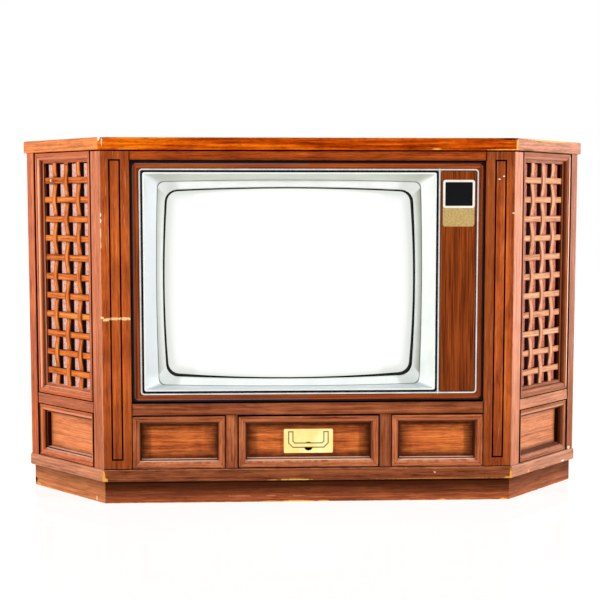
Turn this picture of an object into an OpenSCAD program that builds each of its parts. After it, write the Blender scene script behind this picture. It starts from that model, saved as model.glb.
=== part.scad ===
// Console television cabinet: a floor-standing wooden case with canted ends, woven speaker
// grilles, a 25-inch picture tube and a drawer with a flush pull.
// Millimetres. The origin is on the floor, in the middle of the footprint; +X is to the right,
// +Y to the back and +Z up. Inside the modules, Y = 0 is the front edge of the top.

/* [Case] */
// Overall width, over the back of the top
cab_w = 1223; // [1190:1:1270]
// Width of the straight front edge of the top
front_w = 857; // [840:1:885]
// Overall height
cab_h = 757; // [745:1:790]
// Depth of the top, from front to back
case_d = 457; // [445:1:500]
// Thickness of the top
slab_h = 25; // [20:1:30]
// Width of the solid edging round the top
edging_w = 22; // [15:1:30]
// How far the body stands back from the edge of the top
body_inset = 6; // [4:0.5:10]
// Thickness of the boards of the face
face_th = 20; // [18:1:24]
// Thickness of the side panels
side_th = 16; // [12:1:20]
// Thickness of the thin panels behind the moulded frames
panel_th = 6; // [4:0.5:8]

/* [Base] */
// Height of the plinth
plinth_h = 47; // [40:1:60]
// How far the plinth stands back from the edge of the top
plinth_inset = 12; // [9:1:16]
// Thickness of the plinth boards
plinth_th = 16; // [12:1:20]
// Height of the base moulding
moulding_h = 25; // [20:1:30]
// How far the base moulding stands back from the edge of the top
moulding_inset = 3; // [1:0.5:3.5]
// Depth of the base moulding
moulding_d = 20; // [18:1:26]
// Thickness of the bottom board
bottom_th = 18; // [12:1:20]
// Side of a glue block
block_s = 34; // [25:1:45]

/* [Face layout] */
// Width of the opening for the television
opening_w = 734; // [726:1:740]
// Height of the opening for the television
opening_h = 501; // [490:1:504]
// Height of the rail over the opening
top_rail_h = 21; // [15:1:25]
// Height of the rail under the opening
mid_rail_h = 25; // [20:1:30]
// Width of the mullions beside the drawer
mullion_w = 23.5; // [20:0.5:28]
// Width of the bay that holds the drawer
bay_w = 297; // [280:1:320]
// Width of the corner post on the canted face
post_cant_w = 32; // [28:1:38]
// Width of the outer stile on the canted face
stile_cant_w = 26; // [22:1:32]
// Length of the outer stile along the side
stile_side_w = 40; // [30:1:60]
// Width of the saw kerfs between the pieces of the face
kerf_w = 2; // [1:0.25:3]
// Depth of the saw kerfs
kerf_d = 3; // [2:0.5:5]
// Width of the inlaid strip on the corner posts
inlay_w = 23; // [18:1:28]
// Distance from the ends of the post to the inlaid strip
inlay_end = 20; // [15:1:30]

/* [Moulded frames] */
// Width of a frame member
member_w = 19; // [16:0.5:24]
// Width of a grille frame member
grille_member_w = 23; // [18:0.5:26]
// Depth of the frame members
member_d = 20; // [18:0.5:26]
// Radius of the rounded inner edge
curve_r = 10; // [8:0.5:14]
// Width of the ledge inside the rounded edge
lip_w = 3; // [2:0.5:3.5]
// Radius of the rounded inner edge of a grille frame
grille_curve_r = 8; // [6:0.5:9]
// Width of the ledge inside the rounded edge of a grille frame
grille_lip_w = 6; // [4:0.5:7]
// Step between the flat and the rounded edge
quirk = 1; // [0.5:0.25:2]
// Opening left at each end of a mitred piece
mitre_gap = 0.1; // [0.05:0.05:0.2]

/* [Grille] */
// Height of the frame under the grille
cant_frame_h = 116; // [105:1:125]
// Height of the rail under the grille
cant_rail_h = 22; // [18:1:28]
// Width of a slat
slat_w = 12.5; // [9:0.5:16]
// Thickness of a slat
slat_t = 1.8; // [1.4:0.2:4]
// Distance from slat to slat
slat_pitch = 41; // [36:0.5:44]
// Number of upright slats
slat_columns = 3; // [2:1:3]
// How far the slats are let into the frame
slat_lap = 8; // [5:1:9]
// Depth of the level slats behind the face of the frame
slat_set = 11; // [10:0.5:13]
// How far the rows of slats lie below the middle of the grille
row_drop = 4; // [0:0.5:8]
// Least gap between woven slats
weave_gap = 0.1; // [0.1:0.05:0.3]
// Gap between the slats and the cloth
cloth_gap = 8; // [6:1:12]
// Thickness of the speaker cloth
cloth_t = 0.8; // [0.5:0.1:1.5]
// Thickness of the baffle board
baffle_th = 12; // [9:1:16]
// Radius of a speaker over its rim
speaker_r = 76; // [60:1:80]
// Depth of a speaker behind the baffle
speaker_d = 72; // [55:1:80]

/* [Television face] */
// How far the television's face stands back from the wooden face
tv_recess = 8; // [5:1:12]
// Gap round the shroud in the opening
shroud_gap = 2.5; // [1:0.5:4]
// Width of the shroud's edge beside the surround
shroud_lip = 3.5; // [2:0.5:5]
// Thickness of the moulded plates
plate_t = 3; // [2:0.5:4]
// Width of the surround at the left
border_left = 12.5; // [9:0.5:16]
// Width of the surround at the right
border_right = 8.5; // [7:0.5:12]
// Width of the surround at the top and bottom
border_z = 10.5; // [8:0.5:13]
// Width of the metal trim
trim_w = 4; // [3:0.5:6]
// How far the metal trim stands out of the surround
trim_proud = 0.8; // [0.4:0.1:1.5]
// Width of the dark groove between the trim and the mask
groove_w = 4; // [2:0.5:6]
// Width of the control column
column_w = 76; // [70:1:84]
// Width of the display and the plate under it
display_w = 66; // [58:1:68]
// Height of the display
display_h = 58; // [50:1:66]
// Height of the bare metal plate behind and under the display
name_plate_h = 96; // [86:1:110]
// Distance from the top of the control column to the display
display_drop = 19; // [12:1:30]
// Width of the display's bezel
display_rim = 4.5; // [3:0.5:6]

/* [Picture tube] */
// Width of the screen
screen_w = 531; // [510:1:534]
// Height of the screen
screen_h = 403; // [390:1:406]
// How far the sides of the screen bow outwards
screen_bow = 6.8; // [3:0.2:9]
// Radius of the corners of the screen
screen_r = 22; // [15:1:30]
// Radius of the curve of the glass
glass_r = 1100; // [1000:10:1400]
// How far the tube's axis lies below the middle of the mask
tube_drop = 5.5; // [0:0.5:6]
// Depth of the sloping sides of the mask
mask_slope_d = 42; // [30:1:46]
// Width of the mask's inner rim at the sides
rim_x = 13.3; // [10:0.1:15]
// Width of the mask's inner rim at the top and bottom
rim_z = 15.5; // [12:0.5:16]
// Depth of the mask's inner rim
rim_d = 4; // [3:1:14]
// Width of the chamfer round the glass
rim_lip = 2; // [1:0.25:2.5]
// Thickness of the glass
glass_t = 11; // [8:1:13]
// Length of the picture tube
tube_len = 422; // [400:1:430]
// Radius of the tube's neck
neck_r = 14.5; // [11:0.5:18]
// Depth of the faceplate's skirt, behind the crown of the glass
skirt_d = 84; // [70:1:95]

/* [Drawer] */
// Depth of the drawer box
drawer_d = 224; // [180:1:240]
// Thickness of the drawer's sides
drawer_side_t = 10; // [8:1:13]
// Thickness of the drawer's bottom
drawer_bottom_t = 5; // [3:0.5:7]
// Gap round the drawer front
drawer_gap = 1; // [0.6:0.1:2]
// Width of the pull's plate
pull_w = 103; // [90:1:120]
// Height of the pull's plate
pull_h = 51; // [46:1:60]
// Thickness of the pull's plate
pull_t = 4; // [3.6:0.1:5]
// Width over the bail
bail_w = 83; // [70:1:86]
// Width of the bail's bar
bail_bar = 9; // [7:0.5:10]
// Thickness of the bail
bail_t = 2.8; // [2.4:0.1:3]
// Radius of the finger notch
notch_r = 9.5; // [8:0.5:11]

/* [Back] */
// How far the neck cup stands out behind the top
cup_d = 40; // [30:1:55]
// Width of the neck cup
cup_w = 240; // [200:1:280]
// Height of the neck cup
cup_h = 200; // [160:1:240]
// Thickness of the back cover
cover_t = 3; // [2:0.5:5]
// How far the body's back stands in from the back of the top
back_inset = 6; // [3:0.5:10]
// How far the back cover is let in behind the ends of the sides
cover_inset = 7; // [5:0.5:12]
// Side of the cleats that carry the back cover
cleat_s = 20; // [16:1:26]

/* [Hidden] */
$fn = 48;

// Half sizes of the plan, and the length of a cant measured along X or Y
fh = front_w / 2;
bh = cab_w / 2;
cant = bh - fh;
cant_len = cant * sqrt(2);

// Levels
body_z0 = plinth_h + moulding_h;
body_z1 = cab_h - slab_h;
board_z = plinth_h + bottom_th;
opening_z1 = body_z1 - top_rail_h;
opening_z0 = opening_z1 - opening_h;
mid_rail_z = opening_z0 - mid_rail_h;
lower_h = mid_rail_z - body_z0;

// Depths behind the front edge of the top
face_back = body_inset + face_th;
frame_back = body_inset + member_d;
body_back = case_d - back_inset;
cover_y = body_back - cover_inset - cover_t;
cup_y = case_d + cup_d;
inner_x = bh - max(body_inset + side_th, moulding_inset + moulding_d);

// Canted face: u runs along it from the front corner of the top, v runs into the case
grille_u0 = post_cant_w;
grille_u1 = cant_len - body_inset * (sqrt(2) - 1) - stile_cant_w;
grille_w = grille_u1 - grille_u0;
cant_rail_z = body_z0 + cant_frame_h;
grille_z0 = cant_rail_z + cant_rail_h;
grille_h = body_z1 - grille_z0;
hole_w = grille_w - 2 * grille_member_w;
hole_h = grille_h - 2 * grille_member_w;
slat_v = body_inset + slat_set;
slat_rows = floor(hole_h / slat_pitch);
row_z0 = grille_z0 + grille_h / 2 - row_drop - (slat_rows - 1) * slat_pitch / 2;
slat_gap = (hole_w - slat_columns * slat_w) / (slat_columns + 1);
col_u0 = grille_u0 + grille_member_w + slat_gap + slat_w / 2;
weave_a = (slat_t + weave_gap) / cos(90 * slat_w / slat_pitch);
cloth_v = slat_v + slat_t + cloth_gap;
baffle_v = cloth_v + cloth_t;
batten_w = grille_member_w - slat_lap - 2;
baffle_lap = 12;
speaker_z = grille_z0 + grille_h * 0.6;

// Television face
tv_y = body_inset + tv_recess;
shroud_x = opening_w / 2 - shroud_gap;
shroud_z0 = opening_z0 + shroud_gap;
shroud_z1 = opening_z1 - shroud_gap;
surround_x = shroud_x - shroud_lip;
surround_z0 = shroud_z0 + shroud_lip;
surround_z1 = shroud_z1 - shroud_lip;
trim_x0 = -surround_x + border_left;
trim_x1 = surround_x - border_right;
trim_z0 = surround_z0 + border_z;
trim_z1 = surround_z1 - border_z;
column_x1 = trim_x1 - trim_w;
column_x0 = column_x1 - column_w;
mask_x0 = trim_x0 + trim_w + groove_w;
mask_x1 = column_x0 - trim_w - groove_w;
mask_z0 = trim_z0 + trim_w + groove_w;
mask_z1 = trim_z1 - trim_w - groove_w;
seam_x = mask_x1 - 5;
corner_r = 8;
mask_corner_r = 4;
rim_corner_r = 12;
rim_bow = 4;
fit = 0.3;

// Picture tube
tube_x = (mask_x0 + mask_x1) / 2;
tube_z = (mask_z0 + mask_z1) / 2 - tube_drop;
half_w = screen_w / 2 - screen_bow;
half_h = screen_h / 2 - screen_bow;
rim_y = tv_y + mask_slope_d;
lip_y = rim_y + rim_d;
mask_back = lip_y + plate_t;
crown_y = mask_back + 1.5 - pow(screen_h / 2, 2) / (2 * glass_r);
neck_end = crown_y + tube_len;
skirt_y = crown_y + skirt_d;
skirt_grow = 10;
band_t = 2.5;
ear_y = skirt_y - 5;
ear_t = 3;
ear_edge = 10;
boss_r = 8;
bolt_r = 3.5;
bolt_len = 18;
bolt_head_r = 7;
bolt_head_t = 4.5;
washer_r = 9;
washer_t = 1;
ear_x = (mask_x1 - mask_x0) / 2 + boss_r + 7;
ear_z = (mask_z1 - mask_z0) / 2;
bell_d = 150;
cone_y = skirt_y + bell_d;
cone_len = 50;
cone_r = 60;
funnel_t = 5;
neck_t = 2.5;
coil_t = 10;
band_w = 23;
coil_rim = 14;
ferrite_r1 = 62;
ferrite_r2 = 56;
ferrite_y0 = 14;
ferrite_y1 = 44;
ring_r = 28;
ring_t = 6;
ring_step = 8;
ring_y = cone_y + cone_len + ferrite_y1 / 2;
socket_t = 6;
socket_len = 14;
pcb_t = 1.6;
neck_pcb = 80;

// Drawer
drawer_w = bay_w - 2 * drawer_gap;
drawer_h = lower_h - 2 * drawer_gap;
box_w = drawer_w - 2 * member_w + 4;
box_z0 = body_z0 + 6;
box_z1 = mid_rail_z - 9;
box_y0 = frame_back + panel_th;
tray_d = 130;
tray_y = cover_y - cleat_s - 5 - tray_d;
runner_t = 5;
guide_h = 26;
side_clear = 1;
pull_z = body_z0 + lower_h / 2 - 2;
pull_y = frame_back - pull_t;
bail_z1 = pull_z + pull_h / 2 - 6;
bail_drop = pull_h - 18;
bail_chamfer = 9;
bail_y = pull_y + 0.2 + bail_t / 2;
pivot_z = bail_z1 - bail_t / 2;
pin_r = 1;
pin_len = 2.5;
pocket_d = 4;

// Points of an arc about c from angle a0 to a1
function arc(c, r, a0, a1, n) =
    [for (i = [0:n]) c + r * [cos(a0 + (a1 - a0) * i / n), sin(a0 + (a1 - a0) * i / n)]];

// A point d away from a on the way to b
function toward(a, b, d) = a + (b - a) * d / norm(b - a);

// Outline of the case in plan, moved in by t, with its back edge at y = back
function plan(t, back) =
    let (k = t * (sqrt(2) - 1))
    [[k - fh, t], [fh - k, t], [bh - t, cant + k], [bh - t, back], [t - bh, back],
        [t - bh, cant + k]];

// Plan point on the right canted face, u along it and v into the case
function cant_pt(u, v) = [fh + (u - v) / sqrt(2), (u + v) / sqrt(2)];

// Rectangle with round corners
function round_rect(x0, x1, z0, z1, r) =
    concat(arc([x1 - r, z1 - r], r, 0, 90, 6), arc([x0 + r, z1 - r], r, 90, 180, 6),
        arc([x0 + r, z0 + r], r, 180, 270, 6), arc([x1 - r, z0 + r], r, 270, 360, 6));

// Points between a and b, without either
function between(a, b, m) = [for (i = [1:m - 1]) a + (b - a) * i / m];

// Rectangle about the origin with round corners and sides that bow outwards
function bowed_rect(hw, hh, r, bow) =
    let (q = [[1, 1, 0], [-1, 1, 90], [-1, -1, 180], [1, -1, 270]],
        arcs = [for (s = q) arc([s[0] * (hw - r), s[1] * (hh - r)], r, s[2], s[2] + 90, 5)],
        pts = [for (i = [0:3]) each concat(arcs[i], between(arcs[i][5], arcs[(i + 1) % 4][0], 8))])
    [for (p = pts) [p[0] + sign(p[0]) * bow * (1 - pow(p[1] / hh, 2)),
        p[1] + sign(p[1]) * bow * (1 - pow(p[0] / hw, 2))]];

// The screen's outline, grown by d
function screen_shape(d) = bowed_rect(half_w + d, half_h + d, max(screen_r + d, 4), screen_bow);

// From the modelling place, with Y = 0 at the front edge of the top, to the part's own frame
module in_case() {
    translate([0, -cup_y / 2, 0]) children();
}

// Onto the canted face at a side: X runs along the face, Y into the case
module on_cant(side) {
    mirror([side < 0 ? 1 : 0, 0, 0]) translate([fh, 0, 0]) rotate([0, 0, 45]) children();
}

module at_tube() {
    translate([tube_x, 0, tube_z]) children();
}

// A flat outline in X and Z, thick from y0 to y1
module plate(y0, y1) {
    translate([0, y1, 0]) rotate([90, 0, 0]) linear_extrude(y1 - y0) children();
}

// A round bar along Y
module bar_y(r, y0, y1) {
    translate([0, y1, 0]) rotate([90, 0, 0]) cylinder(r = r, h = y1 - y0);
}

// One straight run of a band between outlines a and b, mitred at both ends
module band_run(a, b, i, h) {
    j = (i + 1) % len(a);
    linear_extrude(h) polygon([toward(a[i], a[j], mitre_gap), toward(a[j], a[i], mitre_gap),
        toward(b[j], b[i], mitre_gap), toward(b[i], b[j], mitre_gap)]);
}

// The same run cut to a profile, x inwards from the outer edge and y up
module moulded_run(a, b, i, h) {
    j = (i + 1) % len(a);
    d = a[j] - a[i];
    intersection() {
        band_run(a, b, i, h);
        translate(a[i]) rotate([0, 0, atan2(d[1], d[0])]) rotate([90, 0, 90])
            linear_extrude(norm(d)) children();
    }
}

// A flat board of the face, rebated at its edges by k = [left, bottom, right, top]
module face_board(w, h, k) {
    translate([k[0], 0, k[1]]) cube([w - k[0] - k[2], kerf_d, h - k[1] - k[3]]);
    translate([0, kerf_d, 0]) cube([w, face_th - kerf_d, h]);
}

// Section of a moulded frame: x from the outer edge inwards, y into the case
module member_section(w, r, lip, k) {
    difference() {
        square([w, member_d]);
        translate([-1, -1]) square([k + 1, kerf_d + 1]);
        difference() {
            translate([w - lip - r, -1]) square([r + lip + 1, r + quirk + 1]);
            translate([w - lip - r, r + quirk]) circle(r = r);
        }
    }
}

// Section of a grille frame, with the groove that holds the ends of the slats
module grille_section() {
    difference() {
        member_section(grille_member_w, grille_curve_r, grille_lip_w, kerf_w);
        translate([grille_member_w - slat_lap - fit, slat_set])
            square([slat_lap + fit + 1, slat_t]);
    }
}

// A frame member along X, its outer edge at the bottom, mitred at both ends
module frame_member(length, w) {
    intersection() {
        mirror([1, 0, -1]) linear_extrude(length) children();
        plate(0, member_d)
            polygon([[mitre_gap, 0], [length - mitre_gap, 0], [length - w - mitre_gap, w],
                [w + mitre_gap, w]]);
    }
}

// Four mitred members of one section round an opening
module moulded_frame(fw, h, w) {
    for (far = [0, 1]) {
        translate([0, 0, far * h]) mirror([0, 0, far]) frame_member(fw, w) children();
        translate([far * fw, 0, 0]) mirror([far, 0, 0]) mirror([1, 0, -1])
            frame_member(h, w) children();
    }
}

/* Case */

module top_panel() {
    color("chocolate") in_case() translate([0, 0, body_z1])
        linear_extrude(slab_h) polygon(plan(edging_w, case_d));
}

module edging_section() {
    polygon(concat([[edging_w, 0], [edging_w, slab_h]], arc([2.5, slab_h - 2.5], 2.5, 90, 180, 4),
        arc([1, 1], 1, 180, 270, 2)));
}

module top_edging() {
    color("peru") in_case() translate([0, 0, body_z1])
        for (i = [0, 1, 2, 4, 5])
            moulded_run(plan(0, case_d), plan(edging_w, case_d), i, slab_h) edging_section();
}

// The corner post turns from the front onto the canted face
module corner_post(side) {
    k = body_inset * (sqrt(2) - 1);
    kb = face_back * (sqrt(2) - 1);
    post_x = opening_w / 2;
    inlay_x = (post_x + fh - k) / 2 - inlay_w / 2;
    color("sienna") in_case() mirror([side < 0 ? 1 : 0, 0, 0]) difference() {
        translate([0, 0, body_z0]) linear_extrude(body_z1 - body_z0)
            polygon([[post_x, body_inset], [fh - k, body_inset], cant_pt(post_cant_w, body_inset),
                cant_pt(post_cant_w, face_back), [fh - kb, face_back], [post_x, face_back]]);
        difference() {
            translate([inlay_x, body_inset - 1, body_z0 + inlay_end])
                cube([inlay_w, kerf_d + 1, body_z1 - body_z0 - 2 * inlay_end]);
            translate([inlay_x + kerf_w, body_inset - 2, body_z0 + inlay_end + kerf_w])
                cube([inlay_w - 2 * kerf_w, kerf_d + 3,
                    body_z1 - body_z0 - 2 * inlay_end - 2 * kerf_w]);
        }
    }
}

module top_rail() {
    color("sienna") in_case() translate([-opening_w / 2, body_inset, opening_z1])
        face_board(opening_w, top_rail_h, [kerf_w, 0, kerf_w, 0]);
}

module mid_rail() {
    color("sienna") in_case() translate([-opening_w / 2, body_inset, mid_rail_z])
        face_board(opening_w, mid_rail_h, [kerf_w, kerf_w / 2, kerf_w, 0]);
}

module mullions() {
    color("saddlebrown") in_case() for (side = [-1, 1])
        translate([side * (bay_w + mullion_w) / 2 - mullion_w / 2, body_inset, body_z0])
            face_board(mullion_w, lower_h, [0, kerf_w, 0, 0]);
}

module lower_frame(side) {
    w = (opening_w - bay_w) / 2 - mullion_w;
    color("sienna") in_case()
        translate([side > 0 ? opening_w / 2 - w : -opening_w / 2, body_inset, body_z0])
            moulded_frame(w, lower_h, member_w) member_section(member_w, curve_r, lip_w, kerf_w);
}

module lower_panels() {
    w = (opening_w - bay_w) / 2 - mullion_w;
    lap = member_w / 2;
    color("peru") in_case() for (side = [-1, 1])
        translate([side * (opening_w - w) / 2 - w / 2 + lap, frame_back, body_z0 + lap])
            cube([w - 2 * lap, panel_th, lower_h - 2 * lap]);
}

// The outer stile turns from the canted face onto the side
module outer_stile(side) {
    k = body_inset * (sqrt(2) - 1);
    kb = face_back * (sqrt(2) - 1);
    end_y = cant + k + stile_side_w;
    color("sienna") in_case() mirror([side < 0 ? 1 : 0, 0, 0]) translate([0, 0, body_z0])
        linear_extrude(body_z1 - body_z0)
            polygon([cant_pt(grille_u1, body_inset), [bh - body_inset, cant + k],
                [bh - body_inset, end_y], [bh - face_back, end_y], [bh - face_back, cant + kb],
                cant_pt(grille_u1, face_back)]);
}

module side_panel(side) {
    y0 = cant + body_inset * (sqrt(2) - 1) + stile_side_w;
    color("chocolate") in_case() mirror([side < 0 ? 1 : 0, 0, 0])
        translate([bh - body_inset - side_th, y0, body_z0])
            cube([side_th, body_back - y0, body_z1 - body_z0]);
}

module cant_rails() {
    color("sienna") in_case() for (side = [-1, 1]) on_cant(side)
        translate([grille_u0, body_inset, cant_rail_z])
            face_board(grille_w, cant_rail_h, [kerf_w, 0, kerf_w, 0]);
}

module cant_frame(side) {
    color("sienna") in_case() on_cant(side) translate([grille_u0, body_inset, body_z0])
        moulded_frame(grille_w, cant_frame_h, member_w)
            member_section(member_w, curve_r, lip_w, kerf_w);
}

module cant_panels() {
    lap = member_w / 2;
    color("peru") in_case() for (side = [-1, 1]) on_cant(side)
        translate([grille_u0 + lap, frame_back, body_z0 + lap])
            cube([grille_w - 2 * lap, panel_th, cant_frame_h - 2 * lap]);
}

module bottom_board() {
    t = moulding_inset + moulding_d;
    color("burlywood") in_case() translate([0, 0, plinth_h])
        linear_extrude(bottom_th) polygon(plan(t, body_back));
}

module base_section() {
    polygon(concat([[2, 0], [moulding_d, 0], [moulding_d, moulding_h]],
        arc([4, moulding_h - 4], 4, 90, 180, 5), [[0, 2]]));
}

module base_moulding() {
    color("sienna") in_case() translate([0, 0, plinth_h]) for (i = [0, 1, 2, 4, 5])
        moulded_run(plan(moulding_inset, body_back),
            plan(moulding_inset + moulding_d, body_back), i, moulding_h) base_section();
}

module plinth() {
    color("saddlebrown") in_case() for (i = [0:5])
        band_run(plan(plinth_inset, body_back), plan(plinth_inset + plinth_th,
            body_back - plinth_th), i, plinth_h);
}

// Glue blocks in the corners of the plinth
module corner_blocks() {
    p = plan(plinth_inset + plinth_th, body_back - plinth_th);
    color("burlywood") in_case() translate([0, 0, 4]) for (i = [0:5])
        linear_extrude(plinth_h - 4) let (c = p[i], a = toward(c, p[(i + 5) % 6], block_s),
            b = toward(c, p[(i + 1) % 6], block_s)) polygon([c, b, a + b - c, a]);
}

/* Grilles */

module grille_frame(side) {
    color("sienna") in_case() on_cant(side) translate([grille_u0, body_inset, grille_z0])
        moulded_frame(grille_w, grille_h, grille_member_w) grille_section();
}

// How far an upright slat stands behind the middle of the weave at height z
function weave(z, column) =
    let (t = (z - row_z0) / slat_pitch)
    t < -0.5 || t > slat_rows - 0.5 ? 0 : weave_a * cos(180 * t) * (column % 2 == 0 ? 1 : -1);

module upright_slat(column) {
    z0 = grille_z0 + grille_member_w - slat_lap;
    z1 = grille_z0 + grille_h - grille_member_w + slat_lap;
    below = row_z0 - slat_pitch / 2;
    steps = slat_rows * 8;
    zs = concat([z0], [for (i = [0:steps]) below + i * slat_pitch / 8], [z1]);
    front = [for (z = zs) [weave(z, column), z]];
    back = [for (i = [len(zs) - 1:-1:0]) [weave(zs[i], column) + slat_t, zs[i]]];
    translate([col_u0 + column * (slat_w + slat_gap) - slat_w / 2, slat_v, 0])
        rotate([90, 0, 90]) linear_extrude(slat_w) polygon(concat(front, back));
}

module level_slat(row) {
    translate([grille_u0 + grille_member_w - slat_lap, slat_v,
        row_z0 + row * slat_pitch - slat_w / 2])
        cube([hole_w + 2 * slat_lap, slat_t, slat_w]);
}

module grille_slats(side) {
    color("peru") in_case() on_cant(side) {
        for (row = [0:slat_rows - 1]) level_slat(row);
        for (column = [0:slat_columns - 1]) upright_slat(column);
    }
}

module grille_cloth(side) {
    edge = batten_w + 0.5;
    color("lightpink") in_case() on_cant(side)
        translate([grille_u0 + edge, cloth_v, grille_z0 + edge])
            cube([grille_w - 2 * edge, cloth_t, grille_h - 2 * edge]);
}

// The board behind the cloth, which laps behind the post and the stile, with battens that
// reach the back of the grille frame
module baffle(side) {
    color("burlywood") in_case() on_cant(side) difference() {
        union() {
            translate([grille_u0 + 1, frame_back, grille_z0 + 1])
                cube([grille_w - 2, baffle_v + baffle_th - frame_back, grille_h - 2]);
            translate([grille_u0 - baffle_lap, baffle_v, grille_z0 + 1])
                cube([grille_w + 2 * baffle_lap, baffle_th, grille_h - 2]);
        }
        translate([grille_u0 + batten_w, frame_back - 1, grille_z0 + batten_w])
            cube([grille_w - 2 * batten_w, baffle_v - frame_back + 1, grille_h - 2 * batten_w]);
        translate([grille_u0 + grille_w / 2, 0, speaker_z])
            bar_y(speaker_r - 10, baffle_v - 1, baffle_v + baffle_th + 1);
    }
}

// Steel basket with its magnet, and the paper cone in it
module speaker(side) {
    throat = 20;
    magnet_d = 22;
    reach = speaker_d - magnet_d;
    color("dimgray") in_case() on_cant(side)
        translate([grille_u0 + grille_w / 2, baffle_v + baffle_th, speaker_z])
            rotate([-90, 0, 0]) {
                rotate_extrude() polygon([[speaker_r - 10, 0], [speaker_r, 0], [speaker_r, 3],
                    [speaker_r - 7, 3], [throat + 8, reach], [38, reach],
                    [38, speaker_d], [0, speaker_d], [0, reach], [throat, reach - 2]]);
                rotate_extrude() polygon([[speaker_r - 14, 1], [speaker_r - 12, 1],
                    [throat - 2, reach - 6], [0, reach - 12], [0, reach - 13],
                    [throat - 3, reach - 8]]);
            }
}

/* Drawer */

module drawer_front_frame() {
    color("sienna") in_case()
        translate([-drawer_w / 2, body_inset, body_z0 + drawer_gap])
            moulded_frame(drawer_w, drawer_h, member_w)
                member_section(member_w, curve_r, lip_w, kerf_w / 2);
}

module drawer_front_panel() {
    lap = member_w / 2;
    color("peru") in_case() difference() {
        translate([lap - drawer_w / 2, frame_back, body_z0 + drawer_gap + lap])
            cube([drawer_w - 2 * lap, panel_th, drawer_h - 2 * lap]);
        translate([0, 0, notch_z]) bar_y(notch_r, frame_back - 1, frame_back + pocket_d);
    }
}

module drawer_box() {
    in_w = box_w - 2 * drawer_side_t;
    color("burlywood") in_case() difference() {
        translate([-box_w / 2, box_y0, box_z0]) cube([box_w, drawer_d, box_z1 - box_z0]);
        translate([-in_w / 2, box_y0 + drawer_side_t, box_z0 + drawer_bottom_t])
            cube([in_w, drawer_d - 2 * drawer_side_t, box_z1 - box_z0]);
    }
}

// Runners under the drawer's sides, each with a guide beside the drawer and a stop behind it
module drawer_runners() {
    length = drawer_d + 16;
    run_w = drawer_side_t + side_clear;
    color("burlywood") in_case() for (side = [0, 1]) mirror([side, 0, 0])
        translate([box_w / 2 - drawer_side_t, box_y0 + 2, board_z]) {
            cube([run_w + runner_t, length, box_z0 - fit - board_z]);
            translate([run_w, 0, 0]) cube([runner_t, length, box_z0 - board_z + guide_h]);
            translate([0, drawer_d - 1, 0])
                cube([run_w + runner_t, length - drawer_d + 1, box_z0 - board_z + guide_h]);
        }
}

notch_z = bail_z1 - bail_drop + 2.5;

// Outline of the bail, grown by d, hanging from its pivots
module bail_outline(d) {
    w = bail_w / 2;
    z0 = bail_z1 - bail_drop;
    c = bail_chamfer;
    i = bail_bar;
    difference() {
        polygon([[-w - d, bail_z1 + d], [-w - d, z0 + c], [c - w, z0 - d], [w - c, z0 - d],
            [w + d, z0 + c], [w + d, bail_z1 + d]]);
        polygon([[i + d - w, bail_z1 + d + 1], [i + d - w, z0 + i + 4 + d],
            [i + 4 + d - w, z0 + i + d], [w - i - 4 - d, z0 + i + d],
            [w - i - d, z0 + i + 4 + d], [w - i - d, bail_z1 + d + 1]]);
    }
}

module pull_plate() {
    color("gold") in_case() difference() {
        plate(pull_y, frame_back) polygon(round_rect(-pull_w / 2, pull_w / 2,
            pull_z - pull_h / 2, pull_z + pull_h / 2, 3));
        plate(pull_y - 1, bail_y + bail_t / 2 + 0.4) bail_outline(0.5);
        translate([0, 0, notch_z]) bar_y(notch_r, pull_y - 1, frame_back + 1);
        translate([-bail_w / 2 - pin_len - 0.3, bail_y, pivot_z]) rotate([0, 90, 0])
            cylinder(r = pin_r + 0.05, h = bail_w + 2 * pin_len + 0.6);
    }
}

module pull_bail() {
    color("goldenrod") in_case() {
        difference() {
            plate(bail_y - bail_t / 2, bail_y + bail_t / 2) bail_outline(0);
            translate([-bail_w, bail_y - bail_t, pivot_z]) cube([2 * bail_w, 2 * bail_t, bail_t]);
        }
        for (side = [0, 1]) mirror([side, 0, 0]) {
            translate([bail_w / 2 - bail_bar, bail_y, pivot_z]) rotate([0, 90, 0])
                cylinder(r = bail_t / 2, h = bail_bar);
            translate([bail_w / 2 - 1, bail_y, pivot_z]) rotate([0, 90, 0])
                cylinder(r = pin_r, h = pin_len + 1);
        }
    }
}

/* Television face */

module shroud() {
    flange = 12;
    color("darkslategray") in_case() {
        difference() {
            plate(tv_y - 1, face_back + plate_t)
                square_between(-shroud_x, shroud_x, shroud_z0, shroud_z1);
            plate(tv_y - 2, tv_y + plate_t)
                square_between(-surround_x, surround_x, surround_z0, surround_z1);
            plate(tv_y + 2 * plate_t, face_back + plate_t + 1)
                square_between(-surround_x, surround_x, surround_z0, surround_z1);
            plate(tv_y - 2, face_back)
                polygon(round_rect(mask_x0 + fit, mask_x1 - fit, mask_z0 + fit, mask_z1 - fit,
                    mask_corner_r));
        }
        difference() {
            plate(face_back, face_back + plate_t) square_between(-shroud_x - flange,
                shroud_x + flange, shroud_z0 - flange, shroud_z1 + flange);
            plate(face_back - 1, face_back + plate_t + 1)
                square_between(-shroud_x + 1, shroud_x - 1, shroud_z0 + 1, shroud_z1 - 1);
        }
        at_ears() difference() {
            bar_y(boss_r, tv_y + plate_t + 1, ear_y);
            bar_y(bolt_r + fit, ear_y - bolt_len - 4, ear_y + 1);
        }
    }
}

module square_between(x0, x1, z0, z1) {
    translate([x0, z0]) square([x1 - x0, z1 - z0]);
}

// The four places where the tube's ears are bolted
module at_ears() {
    at_tube() for (sx = [-1, 1], sz = [-1, 1]) translate([sx * ear_x, 0, sz * ear_z]) children();
}

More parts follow.
